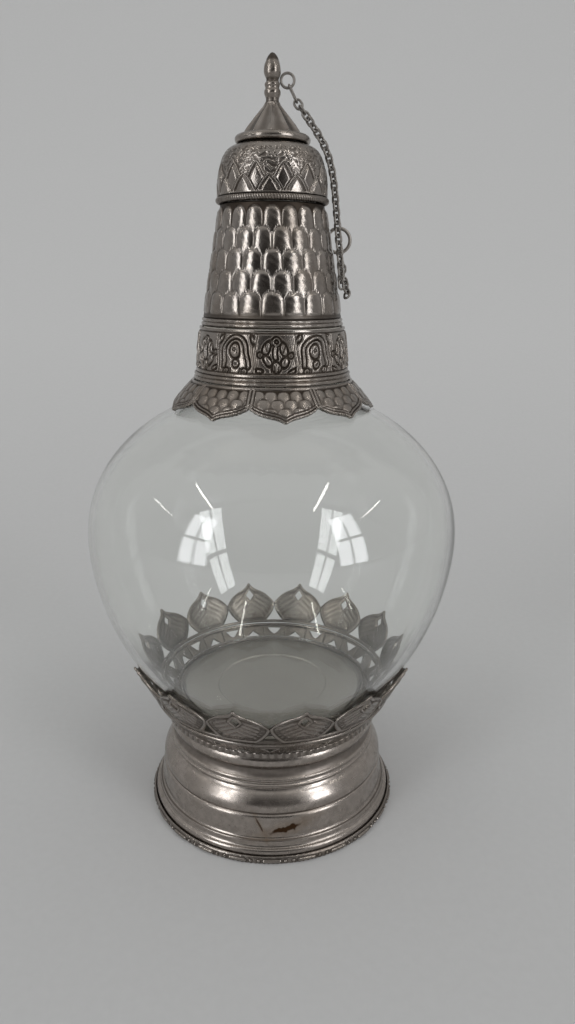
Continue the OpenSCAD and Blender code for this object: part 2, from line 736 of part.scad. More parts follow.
foot();
foot_border();
seat_plate();
gallery_collar();
gallery_band();
gallery_wire();
gallery_petals();
glass_bottle();
neck_skirt();
skirt_moulding();
frieze_band();
frieze_moulding();
scale_sleeve();
rope_wire();
shoulder_dome();
neck_cement();
mouth_collar();
sprinkler_rose();
sleeve_ring();
cap_rim();
cap_cone();
cap_plug();
cap_stud();
finial();
finial_eye();
cap_end_link();
chain_upper_links();
ring_end_link();
chain_lower_links();
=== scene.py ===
"""Looks of the rosewater sprinkler: embossed white metal on a blown glass flask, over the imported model.

Every surface is worked out from a formula on a grid of two parameters. Lengths inside the functions are in
millimetres, angles are measured round the upright axis from the front (-Y) toward +X, and the finished meshes are
in metres.
"""

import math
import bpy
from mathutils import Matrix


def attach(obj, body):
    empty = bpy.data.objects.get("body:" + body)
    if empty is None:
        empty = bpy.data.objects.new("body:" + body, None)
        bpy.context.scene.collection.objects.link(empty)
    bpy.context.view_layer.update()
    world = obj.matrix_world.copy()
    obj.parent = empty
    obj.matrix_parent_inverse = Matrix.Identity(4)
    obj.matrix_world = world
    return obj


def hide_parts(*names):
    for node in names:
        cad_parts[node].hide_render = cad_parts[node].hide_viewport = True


bl_info = {
    "name": "Rosewater sprinkler",
    "version": (1, 0, 0),
    "blender": (4, 5, 0),
    "location": "3D View > Sidebar > Sprinkler",
    "description": "Dresses the packed rosewater sprinkler: embossed metal, blown glass, chain and studio",
    "category": "Add Mesh",
}

import bpy
import numpy as np
from mathutils import Matrix, Vector

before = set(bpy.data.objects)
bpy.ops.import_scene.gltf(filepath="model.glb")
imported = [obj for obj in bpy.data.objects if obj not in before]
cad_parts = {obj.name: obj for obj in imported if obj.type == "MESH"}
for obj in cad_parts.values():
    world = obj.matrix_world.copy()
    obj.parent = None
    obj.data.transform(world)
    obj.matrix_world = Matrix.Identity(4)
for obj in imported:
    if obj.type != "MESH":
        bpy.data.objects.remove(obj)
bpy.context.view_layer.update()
TURN = 2 * math.pi


# Sizes and colours

def size(label, text, millimetres):
    """A length that a user may change, given in millimetres."""
    return bpy.props.FloatProperty(
        name=label, description=text, default=millimetres / 1000, min=0.0, unit="LENGTH", precision=5
    )


def angle(label, text, degrees):
    """An angle that a user may change, given in degrees."""
    return bpy.props.FloatProperty(name=label, description=text, default=math.radians(degrees), subtype="ANGLE")


def count(label, text, number):
    """A number of repeats that a user may change."""
    return bpy.props.IntProperty(name=label, description=text, default=number, min=1)


def share(label, text, value):
    """A part of one."""
    return bpy.props.FloatProperty(
        name=label, description=text, default=value, min=0.0, max=1.0, subtype="FACTOR"
    )


def tint(label, text, rgb):
    """A colour, as linear red, green and blue."""
    return bpy.props.FloatVectorProperty(
        name=label, description=text, default=rgb, size=3, min=0, max=1, subtype="COLOR"
    )


class FootSizes(bpy.types.PropertyGroup):
    """Sizes of the spun foot, its border and the gallery on it."""

    top_radius: size("Top radius", "Radius at the top bead of the foot", 43)
    base_radius: size("Base radius", "Radius at the bottom of the foot", 49.8)
    height: size("Height", "Height of the foot", 41.2)
    sheet: size("Sheet", "Thickness of the metal sheet", 0.9)
    border_radius: size("Border radius", "Outer radius of the worked border", 51.4)
    border_height: size("Border height", "Height of the worked border", 3.2)
    border_repeats: count("Border repeats", "Long dashes round the border", 24)
    collar_radius: size("Collar radius", "Outer radius of the milled collar", 44.2)
    collar_teeth: count("Collar teeth", "Teeth round the milled collar", 96)
    wire_radius: size("Wire radius", "Middle radius of the wire under the petals", 48.3)
    petals: count("Petals", "Petals round the gallery", 14)
    petal_turn: angle("Petal turn", "Turn of the first petal from the front", 12)
    petal_low: size("Petal foot radius", "Radius at the foot of the petals", 48.8)
    petal_tip: size("Petal tip radius", "Radius at the petal tips", 57.2)
    petal_base: size("Petal base height", "Height at which the petals begin", 51.0)
    petal_height: size("Petal height", "Height of a petal", 17.2)
    petal_relief: size("Petal relief", "How far the petal rims stand out", 0.42)


class FlaskSizes(bpy.types.PropertyGroup):
    """Sizes of the blown glass flask."""

    base: size("Base height", "Height of the flask's underside", 46.1)
    belly: size("Belly height", "Height of the widest place", 116.1)
    radius: size("Belly radius", "Radius at the widest place", 70)
    low_depth: size("Lower depth", "Depth of the lower half's oval", 84)
    high_depth: size("Upper depth", "Height of the upper half's oval", 55.2)
    flat: size("Flat radius", "Radius of the flat underside", 34)
    neck: size("Neck radius", "Outer radius of the hidden neck", 15)
    fillet: size("Neck fillet", "Radius of the curve from shoulder to neck", 9)
    lip: size("Lip height", "Height of the flask's lip", 236)
    wall: size("Wall", "Thickness of the glass", 2.4)
    floor: size("Floor", "Thickness of the glass floor", 3.4)
    waver: size("Waver", "How far the blown surface wanders", 0.12)


class NeckSizes(bpy.types.PropertyGroup):
    """Sizes of the embossed neck mount."""

    skirt_tip: size("Skirt tip radius", "Radius at the skirt's points", 37.2)
    skirt_top: size("Skirt top radius", "Radius at the skirt's top", 28.7)
    skirt_low: size("Skirt tip height", "Height of the skirt's points", 164)
    skirt_height: size("Skirt height", "Height of the skirt", 10.2)
    skirt_dip: size("Skirt dip", "How far the valleys lie over the points", 4.2)
    skirt_points: count("Skirt points", "Points round the skirt", 9)
    skirt_turn: angle("Skirt turn", "Turn of the first point from the front", 7)
    frieze_low: size("Frieze bottom radius", "Radius at the frieze's bottom", 28)
    frieze_high: size("Frieze top radius", "Radius at the frieze's top", 26.3)
    frieze_base: size("Frieze base height", "Height of the frieze's bottom", 177.7)
    frieze_height: size("Frieze height", "Height of the frieze", 15.4)
    frieze_panels: count("Frieze panels", "Panels round the frieze", 12)
    frieze_turn: angle("Frieze turn", "Turn of the first panel from the front", 2.5)
    relief: size("Relief", "How far the embossing stands out", 0.6)
    sleeve_low: size("Sleeve bottom radius", "Radius at the sleeve's bottom", 24.6)
    sleeve_high: size("Sleeve top radius", "Radius at the sleeve's top", 18.1)
    sleeve_base: size("Sleeve base height", "Height of the sleeve's bottom", 196.4)
    sleeve_height: size("Sleeve height", "Height of the scaled sleeve", 37)
    scale_rows: count("Scale rows", "Rows of scales", 5)
    scales: count("Scales", "Scales in a row", 20)
    scale_step: size("Scale step", "Height from row to row", 6.75)
    rope_radius: size("Rope radius", "Outer radius of the milled wire", 19.6)
    rope_base: size("Rope base height", "Height of the milled wire's bottom", 233.55)
    rope_height: size("Rope height", "Thickness of the milled wire", 2.2)
    rope_turns: count("Rope turns", "Twists round the milled wire", 132)
    dome_radius: size("Dome radius", "Radius at the dome's bottom", 18.7)
    dome_top: size("Dome top radius", "Radius at the dome's mouth", 12.3)
    dome_base: size("Dome base height", "Height of the dome's bottom", 235.9)
    dome_height: size("Dome height", "Height of the dome", 16)
    leaves: count("Leaves", "Leaves round the dome", 13)


class CapSizes(bpy.types.PropertyGroup):
    """Sizes of the lifting cap."""

    base: size("Base height", "Height of the cap's plate", 252.2)
    radius: size("Rim radius", "Outer radius of the rolled rim", 12.8)
    roll: size("Roll", "Thickness of the rolled rim", 3)
    cone_base: size("Cone base radius", "Radius at the bottom of the cone", 9.65)
    cone_top: size("Cone top radius", "Radius at the top of the cone", 2.5)
    cone_height: size("Cone height", "Height of the cone", 11.8)
    ribs: count("Ribs", "Ribs round the cone", 10)
    finial_radius: size("Finial radius", "Largest radius of the finial", 2.75)
    finial_height: size("Finial height", "Height of the finial", 14.7)


class FinishColours(bpy.types.PropertyGroup):
    """Colours and wear of the finishes."""

    metal: tint("Metal", "Bright parts of the embossed metal", (0.345, 0.312, 0.285))
    foot: tint("Foot metal", "Smooth metal of the foot", (0.43, 0.385, 0.35))
    dull: tint("Dull metal", "Grey metal under the glass", (0.078, 0.076, 0.07))
    chain: tint("Chain metal", "Dark metal of the chain", (0.12, 0.10, 0.083))
    patina: tint("Patina", "Dark film in the hollows", (0.055, 0.043, 0.034))
    tarnish: tint("Tarnish", "Brown film on the open faces", (0.20, 0.155, 0.115))
    roughness: share("Roughness", "Roughness of the bright metal", 0.17)
    glass: tint("Glass", "Tint of the glass", (0.985, 0.993, 0.98))
    cork: tint("Cork", "Cork of the plug", (0.46, 0.29, 0.15))
    plaster: tint("Plaster", "Setting plaster inside the mount", (0.72, 0.68, 0.59))


class StudioSettings(bpy.types.PropertyGroup):
    """Camera, floor and light."""

    lens: bpy.props.FloatProperty(name="Lens", description="Focal length in millimetres", default=25.98)
    distance: size("Distance", "Distance of the camera from the axis", 275.5)
    height: size("Height", "Height of the camera", 208.3)
    pitch: angle("Pitch", "How far the camera looks down", 17.3)
    yaw: angle("Yaw", "How far the camera looks to the right", 1.24)
    roll: angle("Roll", "How far the camera is rolled", 0.4)
    # One paper: its floor is painted darker and its backdrop lighter, as painted light.
    floor: tint("Floor", "Floor near the object", (0.60, 0.60, 0.60))
    wall: tint("Backdrop", "Backdrop behind the object", (0.72, 0.72, 0.72))
    window: bpy.props.FloatProperty(
        name="Window light", description="Radiance of a window pane", default=5.0, min=0
    )


GROUPS = {
    "sprinkler_foot": FootSizes,
    "sprinkler_flask": FlaskSizes,
    "sprinkler_neck": NeckSizes,
    "sprinkler_cap": CapSizes,
    "sprinkler_finish": FinishColours,
    "sprinkler_studio": StudioSettings,
}


class Millimetres:
    """Reads a property group with its lengths in millimetres and everything else as it is."""

    def __init__(self, group):
        self.group = group

    def __getattr__(self, name):
        value = getattr(self.group, name)
        return value * 1000 if self.group.bl_rna.properties[name].unit == "LENGTH" else value


# Surfaces

def grid(points, poles=False, relief=None):
    """Vertices and faces of one or more closed grids of points, each (around, along, 3).

    Point (i, j) joins (i + 1, j) and (i, j + 1), counted round in both directions. With poles, the first and the
    last point along are one point each, and the grid closes only around. relief runs from 0, hollow, to 1, high."""
    points = np.asarray(points, float)
    if relief is None:
        relief = np.ones(points.shape[:-1])
    if points.ndim == 3:
        points, relief = points[None], relief[None]
    parts, around, along, _ = points.shape
    i = np.arange(around)[:, None]
    after = (i + 1) % around
    if poles:
        rows = along - 2
        vertices = np.concatenate([points[:, :, 1:-1].reshape(parts, -1, 3), points[:, 0, [0, -1]]], 1)
        values = np.concatenate([relief[:, :, 1:-1].reshape(parts, -1), relief[:, 0, [0, -1]]], 1)
        j = np.arange(rows - 1)[None]
        quads = np.stack([i * rows + j, after * rows + j, after * rows + j + 1, i * rows + j + 1], -1)
        a, b, low = i[:, 0] * rows, after[:, 0] * rows, np.full(around, around * rows)
        tris = np.concatenate([np.stack([low, b, a], -1), np.stack([a + rows - 1, b + rows - 1, low + 1], -1)])
    else:
        vertices, values = points.reshape(parts, -1, 3), relief.reshape(parts, -1)
        j = np.arange(along)[None]
        up = (j + 1) % along
        quads = np.stack([i * along + j, after * along + j, after * along + up, i * along + up], -1)
        tris = np.zeros((0, 3), int)
    shift = (np.arange(parts) * vertices.shape[1])[:, None, None]
    return (
        vertices.reshape(-1, 3),
        values.ravel(),
        (quads.reshape(1, -1, 4) + shift).reshape(-1, 4),
        (tris[None] + shift).reshape(-1, 3),
    )


def piece(name, grids, finish, body, stands_for=()):
    """One object from the grids: placed in metres, smooth, with its relief as an attribute, riding on a body."""
    starts = np.cumsum([0] + [len(g[0]) for g in grids])
    vertices = np.concatenate([g[0] for g in grids]) / 1000
    values = np.concatenate([g[1] for g in grids])
    quads = np.concatenate([g[2] + s for g, s in zip(grids, starts)])
    tris = np.concatenate([g[3] + s for g, s in zip(grids, starts)])
    mesh = bpy.data.meshes.new(name)
    mesh.vertices.add(len(vertices))
    mesh.vertices.foreach_set("co", vertices.astype(np.float32).ravel())
    mesh.loops.add(4 * len(quads) + 3 * len(tris))
    mesh.loops.foreach_set("vertex_index", np.concatenate([quads.ravel(), tris.ravel()]).astype(np.int32))
    first = np.concatenate([4 * np.arange(len(quads)), 4 * len(quads) + 3 * np.arange(len(tris))])
    mesh.polygons.add(len(first))
    mesh.polygons.foreach_set("loop_start", first.astype(np.int32))
    mesh.polygons.foreach_set("use_smooth", np.ones(len(first), bool))
    mesh.attributes.new("relief", "FLOAT", "POINT").data.foreach_set("value", values.astype(np.float32))
    mesh.update(calc_edges=True)
    if mesh.validate():
        raise RuntimeError(f"{name}: the grid has a bad face")
    mesh.materials.append(finish)
    obj = bpy.data.objects.new(name, mesh)
    bpy.context.scene.collection.objects.link(obj)
    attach(obj, body)
    if stands_for:
        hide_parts(*stands_for)
    return obj


def flow(points, per=5):
    """Smooth line through the points: a cubic between each two, whose slope at a point is that of the chord from
    the point before to the point after, measured by length along the line."""
    p = np.asarray(points, float)
    step = np.linalg.norm(np.diff(p, axis=0), axis=1)
    t = np.concatenate([[0], np.cumsum(step)])
    slope = np.gradient(p, t, axis=0)
    u = (np.arange(per) / per)[None, :, None]
    a, b, reach = p[:-1, None], p[1:, None], step[:, None, None]
    line = (
        (2 * u**3 - 3 * u**2 + 1) * a + (u**3 - 2 * u**2 + u) * slope[:-1, None] * reach
        + (3 * u**2 - 2 * u**3) * b + (u**3 - u**2) * slope[1:, None] * reach
    )
    return np.concatenate([line.reshape(-1, 2), p[-1:]])


def outward(line):
    """Unit normals of a profile of (radius, height) points that runs upward: its direction turned outward."""
    d = np.gradient(line, axis=0)
    d /= np.linalg.norm(d, axis=-1, keepdims=True)
    return np.stack([d[..., 1], -d[..., 0]], -1)


def spin(turn, radius, height):
    """Points at the angles, radii and heights."""
    turn, radius, height = np.broadcast_arrays(turn, radius, height)
    return np.stack([radius * np.sin(turn), -radius * np.cos(turn), height], -1)


def rounds(number):
    """Angles once round."""
    return np.arange(number) * TURN / number


def sheet_ring(line, sheet, turn, lift, back=6):
    """A turned sheet: in front the profile moved out along its normal by the lift, behind it the same profile moved
    in by the sheet's thickness. lift is an array (around, along)."""
    n = outward(line)
    front = spin(turn[:, None], line[:, 0] + n[:, 0] * lift, line[:, 1] + n[:, 1] * lift)
    pick = np.unique(np.linspace(0, len(line) - 1, back).astype(int))[::-1]
    rear = (line - sheet * n)[pick]
    return np.concatenate([front, spin(turn[:, None], rear[None, :, 0], rear[None, :, 1])], 1)


def with_back(relief, back):
    """The relief values with as many full ones for the back of the sheet."""
    return np.concatenate([relief, np.full((len(relief), back), 0.35)], 1)


# Ornament

def ease(x, low, high):
    """Runs smoothly from 0 at low to 1 at high."""
    t = np.clip((x - low) / (high - low), 0, 1)
    return t * t * (3 - 2 * t)


def chance(*keys):
    """A fixed number from -0.5 to 0.5 for whole-number keys: the fraction of a large multiple of a sine."""
    mixed = sum(np.asarray(k, float) * m for k, m in zip(keys, (12.9898, 78.233, 37.719)))
    return np.mod(np.sin(mixed) * 43758.5453, 1) - 0.5


def disc(x, y, cx, cy, r):
    """Distance outside a disc."""
    return np.hypot(x - cx, y - cy) - r


def hoop(x, y, cx, cy, r, w):
    """Distance outside a ring of half width w."""
    return np.abs(np.hypot(x - cx, y - cy) - r) - w


def oval(x, y, cx, cy, rx, ry, lean=0.0):
    """Distance outside an oval that leans by an angle in degrees, near enough close to its edge."""
    c, s = math.cos(math.radians(lean)), math.sin(math.radians(lean))
    u, v = (x - cx) * c + (y - cy) * s, (y - cy) * c - (x - cx) * s
    return (np.hypot(u / rx, v / ry) - 1) * min(rx, ry)


def bar(x, y, x0, y0, x1, y1, w):
    """Distance outside a round-ended bar of half width w."""
    dx, dy = x1 - x0, y1 - y0
    t = np.clip(((x - x0) * dx + (y - y0) * dy) / (dx * dx + dy * dy), 0, 1)
    return np.hypot(x - x0 - t * dx, y - y0 - t * dy) - w


def emboss(*shapes, edge=0.42):
    """The highest of several shapes, each rising over a short rounded edge inside its outline."""
    return np.maximum.reduce([ease(-d, -0.03, edge) for d in shapes])


def chased(*shapes, line=0.3, swell=1.1):
    """Shapes outlined by a chased line. Returns how high each point stands, from 0 to 1, and how dark the line
    is there: it fades as a bell curve of the distance to the nearest outline, and a shape swells inside it."""
    near = np.minimum.reduce(shapes)
    groove = np.exp(-((near / line) ** 2))
    return np.clip(0.35 + 0.65 * ease(-near, 0, swell) - 0.75 * groove, 0, 1), groove


def thumbs(k, width, y, tops, arch, reach, seed):
    """Rows of thumb-shaped scales, from 0 to 1. k counts scales around, width is a scale's width, y runs upward.

    A scale's outline is half an oval as high as arch, then straight sides. Each row starts half a scale on and lies
    over the row above. Across, a scale is rounded like an arc; downward it rises from its rim, then sinks again."""
    shape = np.broadcast_shapes(k.shape, y.shape, np.shape(width))
    height = np.zeros(shape)
    for row, top in enumerate(tops):
        place = k - 0.5 * (row % 2)
        cell = np.round(place)
        x = (place - cell) * width + 0.05 * width * chance(cell % 97, row, seed)
        down = top - y + 0.4 * chance(cell % 89, row + 5, seed)
        half = 0.5 * width * (0.97 + 0.06 * chance(cell % 83, row + 9, seed))
        outline = half * np.sqrt(1 - (1 - np.clip(down / arch, 0, 1)) ** 2)
        across = np.clip(1 - (np.abs(x) / np.maximum(outline, 1e-3)) ** 2, 0, 1)
        crown = 0.25 + 0.75 * ease(down, 0, 0.45 * arch) - 0.55 * ease(down, 0.35 * reach, reach)
        height = np.where((down > 0) & (across > 0), crown * across**0.5, height)
    return height


def leaf_row(k, width, y, low, tip, seed):
    """A row of pointed leaves: how high each point stands, how dark its chased line is, and where the leaves are.
    A leaf's half width follows a power of a quarter sine wave down from its tip, so its shoulders are round."""
    cell = np.round(k)
    x = np.abs((k - cell) * width)
    t = np.clip((tip + 0.5 * chance(cell % 97, seed) - y) / (tip - low), 0, 1)
    half = 0.56 * width * np.sin(0.5 * math.pi * t) ** 0.72
    inside = half - x
    edge = ease(inside, -0.1, 0.3) * ease(-inside, -1.0, -0.6)
    groove = np.exp(-(((inside - 0.85) / 0.24) ** 2)) + np.exp(-(((inside + 0.15) / 0.22) ** 2))
    middle = ease(inside, 0.9, 2.2)
    return np.maximum(0.75 * edge, middle), np.clip(groove, 0, 1), (inside > -0.3) & (t > 0)


# Foot and gallery

FOOT_FORM = (
    (0, 1), (0.03, 1), (0.063, 0.985), (0.085, 0.97), (0.11, 0.95), (0.124, 0.9), (0.134, 0.78), (0.155, 0.72),
    (0.178, 0.71), (0.196, 0.67), (0.206, 0.58), (0.27, 0.53), (0.35, 0.46), (0.42, 0.38), (0.436, 0.3), (0.455, 0.37),
    (0.49, 0.385), (0.53, 0.32), (0.57, 0.2), (0.61, 0.04), (0.64, -0.11), (0.655, -0.145), (0.668, -0.08),
    (0.684, -0.07), (0.698, -0.145), (0.718, -0.165), (0.732, -0.105), (0.747, -0.12), (0.76, -0.21), (0.785, -0.295),
    (0.815, -0.325), (0.843, -0.295), (0.862, -0.22), (0.888, -0.07), (0.922, 0), (0.956, -0.03), (0.984, -0.12),
    (1, -0.24),
)


def foot_profile(s):
    """The foot's outside: each point is a share of the height and of the way from the top to the base radius."""
    form = np.array(FOOT_FORM)
    radius = s.top_radius + form[:, 1] * (s.base_radius - s.top_radius)
    return flow(np.stack([radius, form[:, 0] * s.height], -1), 5)


def spun_foot(s):
    """The foot's profile turned round, with faint waves from spinning, and an inner wall and top flange behind.

    Four creases of the profile and its foot and cove are darkened through the relief: painted shade, which the metal
    finish shows as its dark film."""
    turn, line = rounds(360), foot_profile(s)
    wave = 0.035 * np.sin(3 * turn[:, None] + 0.11 * line[None, :, 1]) + 0.02 * np.sin(7 * turn[:, None] + 1.3)
    n = outward(line)
    front = spin(turn[:, None], line[:, 0] + n[:, 0] * wave, line[:, 1] + n[:, 1] * wave * ease(line[:, 1], 0, 3))
    flange = np.array([[33.0, s.height - 0.02], [33.0, s.height - s.sheet]])
    rear = (line - s.sheet * n)[::-9]
    rear = rear[(rear[:, 1] < s.height - 1.5) & (rear[:, 1] > 0.4)]
    rest = np.concatenate([flange, rear, [[s.base_radius - s.sheet, 0.0]]])
    points = np.concatenate([front, spin(turn[:, None], rest[None, :, 0], rest[None, :, 1])], 1)
    up = line[:, 1]
    # Painted shade: the relief drops in the cove under the collar, at the bottom where the foot meets the border, and
    # along three creases.
    relief_with_painted_shade = 1 - 0.6 * ease(up, 30.6, 31.6) * ease(-up, -35.4, -34.4) - 0.6 * ease(-up, -4.2, -2.6)
    for crease, width, depth in ((17.9, 0.35, 0.8), (8.2, 0.3, 0.8), (28.2, 0.3, 0.5)):
        relief_with_painted_shade = relief_with_painted_shade - depth * np.exp(-(((up - crease) / width) ** 2))
    relief = np.concatenate([np.broadcast_to(relief_with_painted_shade, (360, len(line))), np.full((360, len(rest)), 0.3)], 1)
    return grid(points, relief=np.clip(relief, 0, 1))


def worked_border(s):
    """A rounded ring whose outer face carries long dashes with two small beads between them, over fine ticks."""
    turn = rounds(1200)
    t = np.linspace(0, 1, 25)
    bulge = np.clip(1 - (2 * t - 1) ** 4, 0, 1)
    r = s.border_radius - 1.15 + 0.55 * bulge
    z = s.border_height * t
    k = (turn / TURN * s.border_repeats)[:, None]
    x = (k - np.round(k)) * TURN * s.border_radius / s.border_repeats
    y = z[None] - 0.47 * s.border_height
    marks = emboss(bar(x, y, -2.9, 0, 2.9, 0, 0.72), disc(np.abs(x), y, 5.15, 0, 0.66), edge=0.35)
    ticks = 0.12 * np.sin(190 * turn)[:, None] * ease(-z[None], -0.9, -0.2)
    rough = 0.06 * chance(np.floor(400 * turn / TURN)[:, None], np.floor(z / 0.4)[None])
    lift = 0.6 * marks * (0.8 + 0.5 * chance(np.round(k), 3)) + ticks + rough
    front = spin(turn[:, None], r[None] + lift, z[None])
    inner = np.array([[s.base_radius + 0.15, s.border_height], [s.base_radius + 0.15, 0.0]])
    points = np.concatenate([front, spin(turn[:, None], inner[None, :, 0], inner[None, :, 1])], 1)
    near = np.minimum(bar(x, y, -2.9, 0, 2.9, 0, 0.72), disc(np.abs(x), y, 5.15, 0, 0.66))
    around = np.exp(-(((near - 0.1) / 0.3) ** 2))
    relief = np.concatenate([0.62 + 0.38 * marks - 0.5 * around * (1 - marks), np.full((1200, 2), 0.1)], 1)
    return grid(points, relief=relief)


def milled_collar(s):
    """A flat ring whose outer edge runs in and out as a cosine, once a tooth."""
    turn = rounds(960)
    z = s.height + 0.15 + np.array([0, 0.12, 0.5, 1.1, 1.7, 2.08, 2.2])
    edge = np.array([-0.35, 0, 0, 0, 0, 0, -0.3])
    tooth = 0.12 * np.cos(s.collar_teeth * turn)[:, None] - 0.25
    front = spin(turn[:, None], s.collar_radius + edge[None] + tooth, z[None])
    inner = spin(turn[:, None], np.full((1, 2), s.collar_radius - 3.3), z[None, [-1, 0]])
    relief = np.concatenate([np.broadcast_to(1 + 1.6 * tooth, (960, 7)), np.full((960, 2), 0.2)], 1)
    return grid(np.concatenate([front, inner], 1), relief=relief)


def wire_ring(radius, height, thick, waver=0.0):
    """A round wire bent to a circle, which may waver a little in height."""
    turn, bend = rounds(360), rounds(14)
    z = height + waver * np.sin(5 * turn + 0.6) * 0.5 + waver * np.sin(9 * turn) * 0.3
    across, up = 0.5 * thick * np.cos(bend), 0.5 * thick * np.sin(bend)
    return grid(spin(turn[:, None], radius + across[None], z[:, None] + up[None]))


def ogee(k):
    """Height of a pointed edge from its dip at 0 to its tip at 1: a round shoulder, then a drawn-out point."""
    return 0.66 * (1 - (1 - k) ** 2.6) + 0.34 * k**6


def petal_rim(s, r_at):
    """Half the outline of a petal as (angle, height): along its foot, up the side of the gap, over the dip and up an
    ogee to the tip. The ogee is 0.66 (1 - (1 - k)^2.6) + 0.34 k^6 of the way up."""
    half = math.pi / s.petals
    tip, dip = s.petal_base + s.petal_height, s.petal_base + 0.5 * s.petal_height
    gap = 0.36 * s.petal_low * math.sin(half)
    reach = s.petal_tip * math.sin(half) - 0.35
    low, first = s.petal_base + 0.7, s.petal_base + 1.2
    t = np.linspace(0, 1, 13)[:, None]
    corner = half - math.asin(gap / r_at(low))
    foot = np.concatenate([t * corner, 0 * t + low], 1)[:-1]
    side_z = first + (dip - 1.1 - first) * t
    side = np.concatenate([half - np.arcsin(gap * (1 - t) ** 1.6 / r_at(side_z)), side_z], 1)[:-1]
    bridge = np.array([[half, dip - 1.1], [half, dip - 0.4]])
    k = np.linspace(0, 1, 24)[:, None]
    rise = dip + (tip - dip) * ogee(k)
    edge = np.concatenate([half - np.arcsin(reach * k / r_at(rise)), rise], 1)
    return np.concatenate([foot, side, bridge, edge, [[0.0, tip]]])


def petals(s):
    """Petals as closed sheets. Each is a grid of rays from its pierced diamond out to its rim, in front and behind.

    The relief is a rounded raised rim, a hatched strip inside it, a raised frame round the diamond and nested chevrons
    below it, all as functions of the distances to the rim and to the diamond."""
    u = np.linspace(-0.02, 1.02, 14)
    leaning = s.petal_low + (s.petal_tip - s.petal_low) * (0.86 * u + 0.14 * u * u)
    lean = flow(np.stack([leaning, s.petal_base + s.petal_height * u], -1), 6)
    normal = outward(lean)

    def r_at(z):
        return np.interp(z, lean[:, 1], lean[:, 0])

    right = petal_rim(s, r_at)
    rim = np.concatenate([right[::-1], right[1:-1] * [-1, 1]])
    middle = s.petal_base + 0.7 * s.petal_height
    rim = np.stack([rim[:, 0] * r_at(rim[:, 1]), rim[:, 1] - middle], -1)
    far = np.linalg.norm(rim, axis=1)
    way = rim / far[:, None]
    near = 1 / (np.abs(way[:, 0]) / 1.9 + np.abs(way[:, 1]) / 2.3)
    along = np.cumsum(np.concatenate([[0], np.linalg.norm(np.diff(rim, axis=0), axis=1)]))[:, None]
    v = np.linspace(0, 1, 34)
    v = v - 0.04 * np.sin(TURN * v)
    span = (near[:, None] + (far - near)[:, None] * v[None])
    x, y = way[:, :1] * span, way[:, 1:] * span
    out, inn = far[:, None] - span, span - near[:, None]
    free = ease(np.abs(y + 2.9), 0, 1)
    frame_line = ease(-inn, -1.05, -0.6)
    edge_line = ease(-out, -1.35, -0.85) * (0.8 + 0.2 * free)
    strip = ease(out, 1.5, 1.8) * ease(-out, -3.3, -2.9) * ease(-y, -1.5, 0)
    hatch = strip * (0.5 + 0.5 * np.cos(TURN * along / 1.05))
    ray = 0.5 + 0.5 * np.cos(TURN * (y + 0.62 * np.abs(x)) / 2.3)
    chevron = (0.35 + 0.65 * ray**0.5) * ease(out, 3.1, 3.6) * ease(inn, 1.0, 1.4)
    relief = np.maximum.reduce([frame_line, edge_line, 0.75 * hatch, 0.8 * chevron])
    lift = s.petal_relief * relief + 0.45 * (1 - (x / 12) ** 2) * ease(out, 0, 4)
    lift = lift - 0.25 * ease(-out, -0.3, 0) - 0.15 * ease(-inn, -0.25, 0)
    pick = np.arange(33, -1, -3)
    x = np.concatenate([x, x[:, pick]], 1)[None]
    z = np.concatenate([y, y[:, pick]], 1)[None] + middle
    behind = -0.8 + 0.9 * s.petal_relief * relief[:, pick]
    lift = np.concatenate([lift, behind], 1)[None]
    number = np.arange(s.petals)[:, None, None]
    up = np.clip((z - s.petal_base) / s.petal_height, 0, 1)
    r = r_at(z) + (0.25 + 0.5 * chance(number, 4)) * up**2
    z = z + 0.5 * chance(number, 9) * up**2 + 0.35 * chance(number, 2) * up * x / 6
    nr, nz = np.interp(z, lean[:, 1], normal[:, 0]), np.interp(z, lean[:, 1], normal[:, 1])
    at = s.petal_turn + number * TURN / s.petals + x / r_at(z)
    tone = np.concatenate([0.2 + 0.8 * relief, 0.15 + 0.35 * relief[:, pick]], 1)
    tone = np.broadcast_to(tone[None], r.shape)
    return grid(spin(at, r + nr * lift, z + nz * lift), relief=tone)


def ray_reach(way, corners):
    """How far rays from the origin go before they leave a convex outline, whose corners run anticlockwise: the least,
    over the sides ahead, of the side's distance over the cosine between the ray and the side's normal."""
    side = np.roll(corners, -1, axis=0) - corners
    normal = np.stack([side[:, 1], -side[:, 0]], -1)
    ahead = way @ normal.T
    return np.where(ahead > 1e-9, (corners * normal).sum(1) / np.maximum(ahead, 1e-9), np.inf).min(1)


